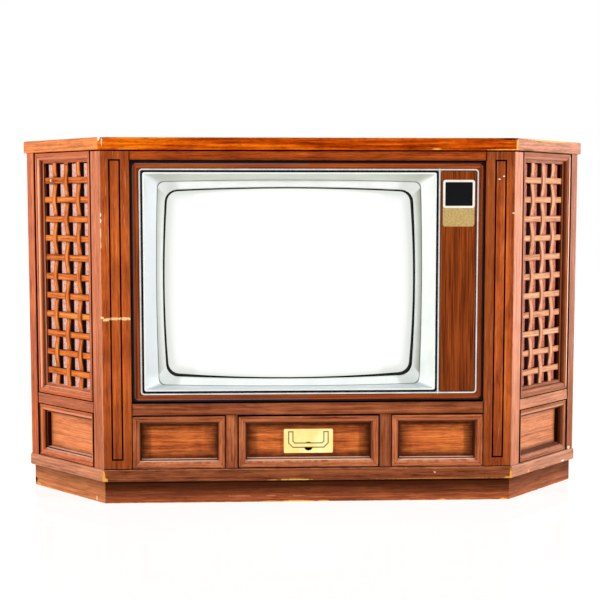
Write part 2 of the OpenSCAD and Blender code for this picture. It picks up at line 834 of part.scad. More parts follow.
// Two mouldings that meet at a seam over and under the picture
module picture_surround() {
    color("saddlebrown") in_case() for (right = [0, 1]) intersection() {
        plate(tv_y, tv_y + plate_t) difference() {
            polygon(round_rect(-surround_x, surround_x, surround_z0, surround_z1, corner_r));
            polygon(round_rect(trim_x0, trim_x1, trim_z0, trim_z1, corner_r));
        }
        plate(tv_y - 1, tv_y + plate_t + 1) square_between(right ? seam_x + 0.3 : -cab_w,
            right ? cab_w : seam_x, 0, cab_h);
    }
}

// A round-cornered opening in the trim
module trim_hole(x0, x1) {
    polygon(round_rect(x0, x1, trim_z0 + trim_w, trim_z1 - trim_w, corner_r - trim_w + 1));
}

module silver_trim() {
    color("silver") in_case() plate(tv_y - trim_proud, tv_y + plate_t) difference() {
        polygon(round_rect(trim_x0, trim_x1, trim_z0, trim_z1, corner_r));
        trim_hole(trim_x0 + trim_w, column_x0 - trim_w);
        trim_hole(column_x0, column_x1);
    }
}

module mask_edge(d) {
    polygon(round_rect(mask_x0 + d, mask_x1 - d, mask_z0 + d, mask_z1 - d, mask_corner_r));
}

// Outline of the inner edge of the mask's slopes, grown by d
module rim_outline(d) {
    polygon(bowed_rect(screen_w / 2 + rim_x - rim_bow + d, screen_h / 2 + rim_z - rim_bow + d,
        rim_corner_r + d, rim_bow));
}

module picture_mask() {
    wall = plate_t;
    color("lightgray") in_case() difference() {
        union() {
            hull() {
                plate(tv_y + 1, tv_y + plate_t + 1) mask_edge(0.8);
                at_tube() plate(rim_y, rim_y + wall) rim_outline(wall);
            }
            at_tube() plate(rim_y, mask_back) rim_outline(wall);
            plate(tv_y + 1, tv_y + plate_t) mask_edge(0);
        }
        hull() {
            plate(tv_y - 1, tv_y + 1) mask_edge(wall);
            at_tube() plate(rim_y, rim_y + 0.01) rim_outline(0);
        }
        hull() {
            at_tube() plate(rim_y, rim_y + 0.01) rim_outline(0);
            at_tube() plate(lip_y, lip_y + 0.01) polygon(screen_shape(rim_lip));
        }
        hull() {
            at_tube() plate(lip_y, lip_y + 0.01) polygon(screen_shape(rim_lip));
            at_tube() plate(lip_y + rim_lip, mask_back + 1) polygon(screen_shape(0));
        }
    }
}

module glass_ball(r) {
    translate([0, crown_y + glass_r, 0]) sphere(r = r, $fn = 256);
}

// Black foam between the mask and the glass
module mask_gasket() {
    color("black") in_case() at_tube() difference() {
        plate(mask_back, skirt_y - 20) difference() {
            polygon(screen_shape(7));
            polygon(screen_shape(-2));
        }
        glass_ball(glass_r + 0.2);
    }
}

module control_panel() {
    color("saddlebrown") in_case() plate(tv_y, tv_y + plate_t)
        polygon(round_rect(column_x0 + fit, column_x1 - fit, trim_z0 + trim_w + fit,
            trim_z1 - trim_w - fit, corner_r - trim_w));
}

display_x0 = (column_x0 + column_x1 - display_w) / 2;
display_x1 = display_x0 + display_w;
display_z1 = trim_z1 - trim_w - display_drop;
display_z0 = display_z1 - display_h;
name_plate_t = 0.8;
tuner_d = 36;
bezel_y = tv_y - name_plate_t;
bezel_t = 2.2;

module name_plate() {
    color("darkkhaki") in_case() plate(bezel_y, tv_y)
        polygon(round_rect(display_x0, display_x1, display_z1 - name_plate_h, display_z1, 6));
}

module display_bezel() {
    r = display_rim;
    color("whitesmoke") in_case() plate(bezel_y - bezel_t, bezel_y) difference() {
        polygon(round_rect(display_x0, display_x1, display_z0, display_z1, 5));
        polygon(round_rect(display_x0 + r, display_x1 - r, display_z0 + r, display_z1 - r, 2));
    }
}

module display_window() {
    r = display_rim + 0.1;
    color("black") in_case() plate(bezel_y - 1.2, bezel_y)
        polygon(round_rect(display_x0 + r, display_x1 - r, display_z0 + r, display_z1 - r, 2));
}

/* Picture tube */

module tube_faceplate() {
    color("honeydew") in_case() at_tube() difference() {
        intersection() {
            plate(crown_y - 1, skirt_y) polygon(screen_shape(skirt_grow));
            glass_ball(glass_r);
        }
        intersection() {
            plate(crown_y, skirt_y + 1) polygon(screen_shape(skirt_grow - glass_t));
            glass_ball(glass_r - glass_t - 2);
        }
    }
}

// Outline of the funnel half way along its bell, grown by d
module bell_waist(d) {
    plate(skirt_y + bell_d / 2, skirt_y + bell_d / 2 + 2)
        polygon(bowed_rect(half_w * 0.62 + d, half_h * 0.68 + d, half_h * 0.46, 8));
}

// The bell of the funnel, grown by d
module bell(d) {
    hull() {
        plate(skirt_y - d / 4, skirt_y + 2) polygon(screen_shape(skirt_grow - 2 + d));
        bell_waist(d);
    }
    hull() {
        bell_waist(d);
        bar_y(cone_r + d, cone_y - 1, cone_y, $fn = 32);
    }
}

module tube_funnel() {
    color("slategray") in_case() at_tube() {
        difference() {
            bell(0);
            translate([0, -0.5, 0]) bell(-funnel_t);
        }
        difference() {
            translate([0, cone_y, 0]) rotate([-90, 0, 0])
                cylinder(r1 = cone_r, r2 = neck_r, h = cone_len);
            translate([0, cone_y - 0.1, 0]) rotate([-90, 0, 0])
                cylinder(r1 = cone_r - funnel_t, r2 = neck_r - neck_t, h = cone_len + 0.2);
        }
        difference() {
            bar_y(neck_r, cone_y + cone_len, neck_end);
            bar_y(neck_r - neck_t, cone_y + cone_len - 1, neck_end - 12);
        }
    }
}

// Steel band round the skirt, with an ear at each corner
module tube_band() {
    color("silver") in_case() at_tube() {
        plate(ear_y - band_w, ear_y + ear_t) difference() {
            polygon(screen_shape(skirt_grow + 0.2 + band_t));
            polygon(screen_shape(skirt_grow + 0.2));
        }
        for (sx = [0, 1], sz = [0, 1]) mirror([sx, 0, 0]) mirror([0, 0, sz]) difference() {
            plate(ear_y, ear_y + ear_t) difference() {
                square_between(half_w - 10, ear_x + ear_edge, half_h - 5, ear_z + ear_edge);
                polygon(screen_shape(skirt_grow + 0.2));
            }
            translate([ear_x, 0, ear_z]) bar_y(bolt_r + 0.5, ear_y - 1, ear_y + ear_t + 1);
        }
    }
}

// Hexagon-headed bolts, each with its washer
module tube_bolts() {
    head_y = ear_y + ear_t + washer_t;
    color("dimgray") in_case() at_ears() {
        bar_y(bolt_r, ear_y - bolt_len, head_y);
        bar_y(washer_r, ear_y + ear_t, head_y);
        translate([0, head_y + bolt_head_t, 0]) rotate([90, 0, 0])
            cylinder(r = bolt_head_r, h = bolt_head_t, $fn = 6);
    }
}

// Saddle coils and ferrite ring on the root of the neck
module deflection_yoke() {
    color("peru") in_case() at_tube() translate([0, cone_y, 0]) rotate([-90, 0, 0])
        rotate_extrude() polygon([[cone_r + fit, 2], [cone_r + coil_rim, 0],
            [cone_r + coil_rim, ferrite_y0 - 6], [ferrite_r1, ferrite_y0],
            [ferrite_r2, ferrite_y1], [neck_r + coil_rim, ferrite_y1 + 2],
            [neck_r + coil_rim, ferrite_y1 + coil_rim], [neck_r + fit, ferrite_y1 + coil_rim],
            [neck_r + fit, cone_len]]);
}

// Purity rings, socket and circuit board on the end of the neck
module neck_board() {
    color("olivedrab") in_case() at_tube() {
        for (i = [0:2]) difference() {
            bar_y(ring_r, ring_y + i * ring_step, ring_y + i * ring_step + ring_t);
            bar_y(neck_r + fit, ring_y - 1, ring_y + 3 * ring_step);
        }
        difference() {
            bar_y(neck_r + socket_t, neck_end - socket_len, neck_end + socket_t);
            bar_y(neck_r + fit, neck_end - socket_len - 1, neck_end + fit);
        }
        plate(neck_end + socket_t, neck_end + socket_t + pcb_t)
            square_between(-neck_pcb / 2, neck_pcb / 2, -neck_pcb * 0.55, neck_pcb * 0.45);
    }
}

module degaussing_coil() {
    color("black") in_case() at_tube() plate(skirt_y + 1, skirt_y + 1 + coil_t) difference() {
        polygon(screen_shape(skirt_grow - 1 + coil_t));
        polygon(screen_shape(skirt_grow - 1));
    }
}

/* Electronics */

tray_w = 460;
tray_h = 25;
tray_t = 1.5;
stud_h = 10;
stud_r = 3;
power_coil = [76, 64, 62];
line_coil = [44, 40, 66];
line_coil_r = 17;
line_coil_h = 16;
heat_sink = [70, 3, 52];
small_can = [6, 24];
large_can = [15, 52];
can_step = 14;

module chassis_tray() {
    color("silver") in_case() {
        difference() {
            translate([-tray_w / 2, tray_y, board_z]) cube([tray_w, tray_d, tray_h]);
            translate([tray_t - tray_w / 2, tray_y + tray_t, board_z + tray_t])
                cube([tray_w - 2 * tray_t, tray_d - 2 * tray_t, tray_h]);
        }
        for (x = [-1, 0, 1], y = [0.12, 0.88])
            translate([x * tray_w * 0.46, tray_y + tray_d * y, board_z + tray_t - 0.5])
                cylinder(r = stud_r, h = stud_h + 0.5);
    }
}

// Board on the studs of the tray, with its largest parts
module circuit_board() {
    gap = tray_t + 2.5;
    coil_x = tray_w * 0.3;
    color("darkolivegreen") in_case() translate([0, tray_y, board_z + tray_t + stud_h]) {
        translate([gap - tray_w / 2, gap, 0]) cube([tray_w - 2 * gap, tray_d - 2 * gap, pcb_t]);
        translate([0, 0, pcb_t - 0.5]) {
            translate([-tray_w * 0.42, tray_d * 0.24, 0]) cube(power_coil);
            translate([coil_x, tray_d * 0.3, 0]) cube(line_coil);
            translate([coil_x + line_coil[0] / 2, tray_d * 0.3 + line_coil[1] / 2,
                line_coil[2] - 1]) cylinder(r = line_coil_r, h = line_coil_h);
            translate([-tray_w * 0.05, tray_d * 0.16, 0]) cube(heat_sink);
            for (i = [0:3]) translate([-tray_w * 0.17 + i * can_step, tray_d * 0.75, 0])
                cylinder(r = small_can[0], h = small_can[1]);
            translate([tray_w * 0.15, tray_d * 0.55, 0])
                cylinder(r = large_can[0], h = large_can[1]);
        }
    }
}

// Screened tuner and display board behind the control column
module tuner_module() {
    x = (column_x0 + column_x1) / 2;
    y = tv_y + 2 * plate_t;
    w = column_w - 24;
    color("lightgray") in_case() {
        translate([x - w / 2, y, display_z0 - 20]) cube([w, pcb_t, display_h + 20]);
        translate([x - w / 2 + 2, y + pcb_t - 0.1, display_z0 - 10])
            cube([w - 4, tuner_d, display_h + 10]);
    }
}

/* Back */

back_w = 2 * inner_x;
slot_w = 5;
slot_l = 90;
slot_step = 14;
slot_gap = 20;
vent_x = cup_w / 2 + 80;
vent_w = 2 * slot_l + slot_gap;
screw_r = 2;
screw_head_r = 4.5;
screw_len = 15;
socket_w = 34;
socket_h = 24;
socket_d = 16;
socket_x = 70 - back_w / 2;
socket_z = board_z + 60;

// Places of the back screws, along the cleats
function screw_places() =
    let (x = back_w / 2 - cleat_s / 2, z0 = board_z + cleat_s / 2 + 1, z1 = body_z1 - cleat_s / 2)
    concat([for (i = [-1:0.5:1]) [i * x, z1]], [for (i = [-1:0.5:1]) [i * x, z0]],
        [for (s = [-1, 1], f = [0.33, 0.67]) [s * x, z0 + (z1 - z0) * f]]);

module at_screws() {
    for (p = screw_places()) translate([p[0], 0, p[1]]) children();
}

module rear_cleats() {
    y = cover_y - cleat_s;
    between_x = inner_x - cleat_s - mitre_gap;
    color("burlywood") in_case() difference() {
        union() {
            for (side = [0, 1]) mirror([side, 0, 0])
                translate([inner_x - cleat_s, y, board_z])
                    cube([cleat_s, cleat_s, body_z1 - board_z]);
            for (z = [board_z, body_z1 - cleat_s]) translate([-between_x, y, z])
                cube([2 * between_x, cleat_s, cleat_s]);
        }
        at_screws() bar_y(screw_r + fit, cover_y - screw_len - 1, cover_y + 1);
    }
}

// Rows of vent slots in the back, on both sides of the cup
module vent_field(z, rows) {
    for (side = [-1, 1], row = [0:rows - 1], col = [-1, 1])
        translate([side * (vent_x + vent_w / 2) + col * (slot_l + slot_gap) / 2 - slot_l / 2,
            cover_y - 1, z + row * slot_step]) cube([slot_l, cover_t + 2, slot_w]);
}

module back_cover() {
    wall = cover_t;
    color("dimgray") in_case() difference() {
        union() {
            plate(cover_y, cover_y + cover_t)
                square_between(-back_w / 2, back_w / 2, board_z + 1, body_z1 - 1);
            at_tube() plate(cover_y, cup_y)
                polygon(round_rect(-cup_w / 2, cup_w / 2, -cup_h / 2, cup_h / 2, 20));
        }
        at_tube() plate(cover_y - 1, cup_y - wall) polygon(round_rect(wall - cup_w / 2,
            cup_w / 2 - wall, wall - cup_h / 2, cup_h / 2 - wall, 17));
        at_screws() bar_y(screw_r + fit, cover_y - 1, cover_y + cover_t + 1);
        vent_field(body_z1 - 12 * slot_step, 9);
        vent_field(board_z + 4 * slot_step, 6);
        translate([socket_x - socket_w / 2 - fit, cover_y - 1, socket_z - socket_h / 2 - fit])
            cube([socket_w + 2 * fit, cover_t + 2, socket_h + 2 * fit]);
    }
    color("saddlebrown") in_case() rear_sockets();
}

// Mains inlet and, over it, the aerial terminals
module rear_sockets() {
    translate([socket_x, cover_y + mitre_gap, socket_z]) {
        difference() {
            union() {
                translate([-socket_w / 2, cover_t - socket_d, -socket_h / 2])
                    cube([socket_w, socket_d, socket_h]);
                translate([-socket_w / 2 - 5, cover_t, -socket_h / 2 - 4])
                    cube([socket_w + 10, 2, socket_h + 8]);
            }
            translate([3 - socket_w / 2, cover_t - socket_d + 2, 3 - socket_h / 2])
                cube([socket_w - 6, socket_d + 2, socket_h - 6]);
        }
        for (x = [-1, 1]) translate([x * socket_w / 5, 0, 0])
            bar_y(1.2, cover_t - socket_d + 1, cover_t - 1);
        translate([0, cover_t, socket_h + 22]) {
            translate([-socket_w / 2, 0, -socket_h / 2]) cube([socket_w, 2.5, socket_h]);
            for (x = [-1, 1], z = [-1, 1]) translate([x * socket_w / 4, 0, z * socket_h / 4])
                bar_y(3.5, 2, 5);
        }
    }
}

module back_screws() {
    color("dimgray") in_case() at_screws() {
        bar_y(screw_r, cover_y - screw_len, cover_y + cover_t + 0.5);
        bar_y(screw_head_r, cover_y + cover_t, cover_y + cover_t + 2.2);
    }
}

top_panel();
top_edging();
corner_post(-1);  // left_corner_post
corner_post(1);  // right_corner_post
top_rail();
mid_rail();
mullions();
lower_frame(-1);  // left_lower_frame
lower_frame(1);  // right_lower_frame
lower_panels();
outer_stile(-1);  // left_outer_stile
outer_stile(1);  // right_outer_stile
side_panel(-1);  // left_side_panel
side_panel(1);  // right_side_panel
cant_rails();
cant_frame(-1);  // left_cant_frame
cant_frame(1);  // right_cant_frame
cant_panels();
grille_frame(-1);  // left_grille_frame
grille_frame(1);  // right_grille_frame
grille_slats(-1);  // left_grille_slats
grille_slats(1);  // right_grille_slats
grille_cloth(-1);  // left_grille_cloth
grille_cloth(1);  // right_grille_cloth
baffle(-1);  // left_baffle
baffle(1);  // right_baffle
speaker(-1);  // left_speaker
speaker(1);  // right_speaker
bottom_board();
base_moulding();
plinth();
corner_blocks();
rear_cleats();
drawer_front_frame();
drawer_front_panel();
drawer_box();
drawer_runners();
pull_plate();
pull_bail();
shroud();
picture_surround();
silver_trim();
picture_mask();
mask_gasket();
control_panel();
display_bezel();
display_window();
name_plate();
tube_faceplate();
tube_funnel();
tube_band();
tube_bolts();
deflection_yoke();
neck_board();
degaussing_coil();
chassis_tray();
circuit_board();
tuner_module();
back_cover();
back_screws();
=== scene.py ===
import math
import random
from types import SimpleNamespace

import bpy
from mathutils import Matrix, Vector


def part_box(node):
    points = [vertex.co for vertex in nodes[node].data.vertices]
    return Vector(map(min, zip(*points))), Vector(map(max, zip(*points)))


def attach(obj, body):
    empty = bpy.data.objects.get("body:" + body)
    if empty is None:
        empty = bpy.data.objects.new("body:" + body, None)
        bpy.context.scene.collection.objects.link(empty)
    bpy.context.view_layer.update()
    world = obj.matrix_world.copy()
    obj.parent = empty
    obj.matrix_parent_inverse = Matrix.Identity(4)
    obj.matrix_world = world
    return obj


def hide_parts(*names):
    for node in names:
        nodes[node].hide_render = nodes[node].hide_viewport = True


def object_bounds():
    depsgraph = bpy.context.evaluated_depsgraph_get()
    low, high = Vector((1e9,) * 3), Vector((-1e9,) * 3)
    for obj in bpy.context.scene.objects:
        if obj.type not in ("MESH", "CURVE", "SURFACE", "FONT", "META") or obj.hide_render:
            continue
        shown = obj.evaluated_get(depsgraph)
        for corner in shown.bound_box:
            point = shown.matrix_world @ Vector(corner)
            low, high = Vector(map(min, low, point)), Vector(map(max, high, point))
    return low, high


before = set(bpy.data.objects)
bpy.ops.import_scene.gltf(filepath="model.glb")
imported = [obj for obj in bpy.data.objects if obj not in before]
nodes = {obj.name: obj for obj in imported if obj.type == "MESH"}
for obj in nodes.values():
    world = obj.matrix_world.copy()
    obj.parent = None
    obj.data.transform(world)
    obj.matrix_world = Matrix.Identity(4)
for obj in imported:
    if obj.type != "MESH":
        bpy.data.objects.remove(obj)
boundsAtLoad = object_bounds()
bpy.ops.object.select_all(action="DESELECT")
print("frame loaded:", len(nodes), "nodes")

mm = 0.001
half = math.sqrt(0.5)  # the ends of the front are canted by 45 degrees
lowCorner, highCorner = boundsAtLoad


def hexColour(text):
    # sRGB hex to the linear values that Blender's sockets take
    channels = [int(text[i:i + 2], 16) / 255 for i in (1, 3, 5)]
    return tuple(c / 12.92 if c <= 0.04045 else ((c + 0.055) / 1.055) ** 2.4
                 for c in channels) + (1.0,)


current = SimpleNamespace(tree=None)  # the node tree of the material being made


def feed(node, place, value):
    # sets an input of a node, or links another node or one of its sockets to it
    socket = node.inputs[place]
    if isinstance(value, bpy.types.Node):
        value = value.outputs[0]
    if isinstance(value, bpy.types.NodeSocket):
        current.tree.links.new(value, socket)
    else:
        socket.default_value = hexColour(value) if isinstance(value, str) else value


def add(kind, inputs=(), stops=()):
    # adds a shader node with its inputs in order or by name; capitals alone say what a Math node
    # does, and stops are the places and colours of a ramp
    kind, _, operation = ("Math." + kind if kind.isupper() else kind).partition(".")
    made = current.tree.nodes.new("ShaderNode" + kind)
    if operation:
        made.operation = operation
    for i, (place, colour) in enumerate(stops):
        ramp = made.color_ramp.elements
        element = ramp[i] if i < 2 else ramp.new(place)
        element.position = place
        element.color = hexColour(colour)
    for place, value in inputs.items() if isinstance(inputs, dict) else enumerate(inputs):
        feed(made, place, value)
    return made


def newMaterial(name):
    # spot holds what a shade may read: places in millimetres from Object coordinates, and later
    # the distances from a board's edges and the grain's own light and dark
    material = bpy.data.materials.new(name)
    material.use_nodes = True
    current.tree = material.node_tree
    current.tree.nodes.clear()
    shader = add("BsdfPrincipled")
    add("OutputMaterial", [shader])
    place = add("TexCoord").outputs["Object"]
    place = add("VectorMath.MULTIPLY", [place, (1000,) * 3]).outputs[0]
    x, y, up = add("SeparateXYZ", [place]).outputs
    across = add("ABSOLUTE", [x])  # distance from the middle
    return material, shader, SimpleNamespace(place=place, x=x, y=y, up=up, across=across)


def dress(material, *names):
    # a CAD node keeps its mesh; only its material slots change
    for name in names:
        for slot in nodes[name].material_slots:
            slot.material = material


def surface(shader, colour, roughness, height, depth, **values):
    # depth is the height of the bumps in millimetres
    bump = add("Bump", {"Distance": depth * mm, "Height": height})
    values = {"Base Color": colour, "Roughness": roughness, "Normal": bump, **values}
    for name, value in values.items():
        feed(shader, name.replace("_", " "), value)


def band(value, low, high, soft=0.3):
    # 1 where a value in millimetres is between low and high
    up = add("MapRange", [value, low - soft, low + soft])
    down = add("MapRange", [value, high + soft, high - soft])
    return add("MULTIPLY", [up, down])


def apart(one, other):
    # how far apart two values are
    return add("ABSOLUTE", [add("SUBTRACT", [one, other])])


def inside(value, low, high):
    # how far a value lies between two limits, negative outside them
    return add("SUBTRACT", [(high - low) / 2, apart(value, (low + high) / 2)])


def lay(colour, tone, *shares):
    # lays a tone over a colour, as much as all the shares multiplied together
    share = shares[0]
    for other in shares[1:]:
        share = add("MULTIPLY", [share, other])
    return add("MixRGB", [share, colour, tone])


def fade(colour, tone, value, start, end, most=1.0, *shares):
    # lays a tone over a colour from nothing where a value is at its start to most at its end
    return lay(colour, tone, add("MapRange", [value, start, end, 0.0, most]), *shares)


def ragged(value, place, size, amount, **noise):
    # pushes a value about by noise of a size in millimetres
    cloud = add("TexNoise", {"Vector": place, "Scale": 1 / size, **noise})
    return add("MULTIPLY_ADD", [cloud, amount, value])


def blotches(place, size, limits, **noise):
    # noise of a size in millimetres, spread from two limits to 0 and 1, or to the two after them
    cloud = add("TexNoise", {"Vector": place, "Scale": 1 / size, **noise})
    return add("MapRange", [cloud, *limits])


def darkest(first, *others):
    # the largest of several shares
    for other in others:
        first = add("MAXIMUM", [first, other])
    return first


def tones(look):
    # the stops of a ramp of three tones
    return [(0.0, look["dark"]), (1.0, look["light"]), (0.5, look["mid"])]


faceWays = {  # directions along a face, up it, and into the case
    "front": (Vector((1, 0, 0)), Vector((0, 0, 1)), Vector((0, 1, 0))),
    "cant": (Vector((half, half, 0)), Vector((0, 0, 1)), Vector((-half, half, 0)))}


def boxMm(name):
    return [corner * 1000 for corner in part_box(name)]


def frontSpans(name):
    # from side to side and from foot to top
    low, high = boxMm(name)
    return [(low.x, high.x), (low.z, high.z)]


def frontGaps(spot, spans):
    # how far a point of the front lies inside a rectangle, from its sides and from its ends
    return [inside(value, *span) for value, span in zip((spot.x, spot.up), spans)]


def frontCorner(name):
    # where the front turns into the canted face, in millimetres from the middle
    front = min(v.co.y for v in nodes[name].data.vertices)
    return max(abs(v.co.x) for v in nodes[name].data.vertices if v.co.y < front + 0.5 * mm) * 1000


def faceSpans(name, kind):
    # how far a node reaches along the three directions, in millimetres; both kinds are mirrored
    points = [Vector((abs(v.co.x), v.co.y, v.co.z)) / mm for v in nodes[name].data.vertices]
    return [(min(p.dot(a) for p in points), max(p.dot(a) for p in points)) for a in faceWays[kind]]


def facePlaces(spot, kind):
    # a point's place along a face, up it and into the case, mirrored about the middle
    mirrored = add("CombineXYZ", [spot.across, spot.y, spot.up])
    return [add("VectorMath.DOT_PRODUCT", [mirrored, tuple(a)]).outputs["Value"]
            for a in faceWays[kind]]


def insets(spot, name, kind, middle):
    # distances from a board's sides and ends, and the depth behind its face
    spans = faceSpans(name, kind)
    if middle:  # a board that crosses the middle
        spans[0] = (-spans[0][1], spans[0][1])
    along, up, inward = facePlaces(spot, kind)
    return [inside(along, *spans[0]), inside(up, *spans[1]),
            add("SUBTRACT", [inward, spans[2][0]])]


# camera: one fixed view from a little left of the middle, in metres, millimetres and degrees
cameraLook = {"across": -0.1191, "ahead": 2.388, "height": 0.61894, "lens": 69.9,
              "sensor": 36, "tilt": -4.64, "turn": -2.41}
cameraData = bpy.data.cameras.new("viewCamera")
cameraData.lens = cameraLook["lens"]
cameraData.sensor_width = cameraLook["sensor"]
camera = bpy.data.objects.new("viewCamera", cameraData)
bpy.context.scene.collection.objects.link(camera)
camera.location = (cameraLook["across"], lowCorner.y - cameraLook["ahead"], cameraLook["height"])
camera.rotation_euler = (math.radians(90 + cameraLook["tilt"]), 0,
                         math.radians(cameraLook["turn"]))
bpy.context.scene.camera = camera
bpy.context.scene.view_settings.view_transform = "Standard"

# lamps: a hard pair out to the sides, a soft one above and one behind; the screens at the two
# sides only put a sheen on the lacquer of the canted faces
aimHeight = 0.38
lamps = {
    "rightKey": {"azimuth": 57, "rise": 15, "away": 3.2, "size": 0.2, "power": 66},
    "leftKey": {"azimuth": -57, "rise": 15, "away": 3.2, "size": 0.2, "power": 60},
    "topSoft": {"azimuth": 0, "rise": 66, "away": 2.6, "size": 1.6, "power": 8},
    "backSoft": {"azimuth": 180, "rise": 28, "away": 3.4, "size": 2.0, "power": 45},
    "rightScreen": {"azimuth": 92, "rise": 6, "away": 2.2, "size": 2.4, "power": 60},
    "leftScreen": {"azimuth": -96, "rise": 6, "away": 2.2, "size": 2.0, "power": 18},
}
middle = Vector((0, (lowCorner.y + highCorner.y) / 2, aimHeight))
for name, look in lamps.items():
    lampData = bpy.data.lights.new(name, "AREA")
    lampData.shape = "DISK"
    lampData.size = look["size"]
    lampData.energy = look["power"]
    lamp = bpy.data.objects.new(name, lampData)
    bpy.context.scene.collection.objects.link(lamp)
    turn, rise = math.radians(look["azimuth"]), math.radians(look["rise"])
    way = Vector((math.sin(turn) * math.cos(rise), -math.cos(turn) * math.cos(rise),
                  math.sin(rise)))
    lamp.location = middle + way * look["away"]
    lamp.rotation_euler = way.to_track_quat("Z", "Y").to_euler()
    lamp.visible_diffuse = not name.endswith("Screen")
print("camera and lamps set")

# room: white where it is seen or mirrored, dim where it lights
room = {"seen": "#ffffff", "fill": "#ffffff", "fillStrength": 0.03}
world = bpy.data.worlds.new("whiteRoom")
bpy.context.scene.world = world
world.use_nodes = True
current.tree = world.node_tree
current.tree.nodes.clear()
rays = add("LightPath").outputs
shown = darkest(rays["Is Glossy Ray"], rays["Is Transmission Ray"], rays["Is Camera Ray"])
dim = add("Background", [room["fill"], room["fillStrength"]])
bright = add("Background", [room["seen"], 1.0])
add("OutputWorld", [add("MixShader", [shown, dim, bright])])

# floor: painted white; it keeps the shadow and a faint reflection close to the cabinet
floorLook = {"size": 14.0, "paint": "#f2f0ee", "white": "#fffefe", "glow": 0.91,
             "farGlow": 1.06, "near": 900.0, "far": 2200.0, "dimmed": 0.7, "mirror": 0.1,
             "polish": 0.06}
bpy.ops.mesh.primitive_plane_add(size=floorLook["size"], location=(0, 0, 0))
floor = bpy.context.object
floor.name = "floor"
floorMaterial, shader, spot = newMaterial("floorWhitePainted")
rays = add("LightPath").outputs
away = add("VectorMath.LENGTH", [spot.place]).outputs["Value"]
paint = add("BsdfDiffuse", [floorLook["paint"]])
share = add("MapRange", [away, floorLook["near"], floorLook["far"], floorLook["glow"],
                         floorLook["farGlow"]])
glow = add("Emission", {"Color": floorLook["white"], "Strength": share})
black = add("BsdfDiffuse", ["#000000"])
near = add("AddShader", [glow, add("MixShader", [floorLook["dimmed"], paint, black])])
gloss = add("BsdfGlossy", {"Color": "#ffffff", "Roughness": floorLook["polish"]})
mirrored = add("MixShader", [floorLook["mirror"], near, gloss])
shown = darkest(rays["Is Camera Ray"], rays["Is Glossy Ray"])
floorShader = add("MixShader", [shown, paint, mirrored])
out = shader.outputs[0].links[0].to_node
feed(out, 0, floorShader)
current.tree.nodes.remove(shader)
floor.data.materials.append(floorMaterial)
print("floor and room set")


# wood: stained hardwood and veneer under satin lacquer. The eye gets dark pores and streaks
# along the grain under a soft sheen, and black in the saw kerfs: stain and painted shade. A
# grain way squeezes the pattern along each axis; sizes are in millimetres. Fibres and pores
# are drawn 3 mm wide, coarser than real ones, so that they show
grainWays = {"level": (0.03, 0.03, 1.0), "upright": (1.0, 1.0, 0.022), "across": (0.03, 1.0, 1.0)}
woodDefaults = {"figure": 14.0, "streak": 5.0, "fibre": 3.0, "shares": (0.24, 0.3, 0.34),
                "detail": 4.0, "crisp": 0.74, "cloud": 60.0, "cloudShare": 0.12,
                "spread": 0.088, "bend": 26.0, "wander": 7.0, "poreWide": 3.0, "pores": 0.24,
                "short": 0.05, "bump": 0.12, "coat": 0.0, "coatRough": 0.16,
                "pore": "#2a0c02", "poreRough": 0.3, "rough": 0.33, "sheen": 0.12}
seedStep = 37.0  # each seed moves the pattern by this much
# near black for kerfs and joints: stain, and painted shade in the narrow gaps
kerfStainAndShade = "#0b0705"


def woodGrain(place, look, way):
    # broad figure, streaks, short fibres along the grain, and slow clouds of stain
    start = add("VectorMath.ADD", [place, (look["seed"] * seedStep,) * 3])
    flow = add("VectorMath.MULTIPLY", [start, way])
    bend = add("TexNoise", {"Vector": flow, "Scale": 1 / look["bend"], "Detail": 1.0})
    flow = add("VectorMath.MULTIPLY_ADD", [bend.outputs["Color"], (look["wander"],) * 3, flow])
    short = add("VectorMath.MULTIPLY_ADD", [way, (1 - look["short"],) * 3, (look["short"],) * 3])
    short = add("VectorMath.MULTIPLY", [start, short])
    cloud = add("TexNoise", {"Vector": place, "Scale": 1 / look["cloud"]})
    value = add("MULTIPLY", [cloud, look["cloudShare"]])
    layers = []
    for field, kind, share in zip((flow, flow, short), ("figure", "streak", "fibre"),
                                  look["shares"]):
        layer = add("TexNoise", {"Vector": field, "Scale": 1 / look[kind],
                                 "Detail": look["detail"], "Roughness": look["crisp"]})
        layers.append(add("MULTIPLY", [layer, share]))
        value = add("ADD", [value, layers[-1]])
    value = add("MapRange", [value, 0.5 - look["spread"], 0.5 + look["spread"]])
    pore = blotches(short, look["poreWide"], (0.55, 0.7, 0.0, look["pores"]))
    return value, pore, layers[1]


# the weave of the grille's strips, from the corners of the node: where the strips lie, how
# far apart, and how wide they are
stripPoints = [(v.co.dot(Vector((half, half, 0))) / mm, v.co.z / mm)
               for v in nodes["right_grille_slats"].data.vertices]
stripEnd = min(a for a, z in stripPoints)
stripEdges = [sorted({round(a, 1) for a, z in stripPoints})[1:-1],
              sorted({round(z, 1) for a, z in stripPoints if a < stripEnd + 0.5})]
strips = [{"first": (edges[0] + edges[1]) / 2, "wide": edges[1] - edges[0],
           "pitch": edges[2] - edges[0]} for edges in stripEdges]


def weaveGrid(spot):
    # whether a point is on an upright strip, how far it is from the nearest crossing of each
    # kind, and whether the upright strip is in front there
    gaps, counts = [], []
    for value, strip in zip(facePlaces(spot, "cant"), strips):
        turn = add("DIVIDE", [add("SUBTRACT", [value, strip["first"]]), strip["pitch"]])
        counts.append(add("ROUND", [turn]))
        off = apart(turn, counts[-1])
        gaps.append(add("MULTIPLY_ADD", [off, strip["pitch"], -strip["wide"] / 2]))
    odd = add("MODULO", [add("ABSOLUTE", [add("ADD", counts)]), 2.0])
    inColumn = add("LESS_THAN", [gaps[0], 0.3])
    free = darkest(add("GREATER_THAN", [gaps[1], 0.0]), odd)
    return add("MULTIPLY", [inColumn, free]), gaps, odd


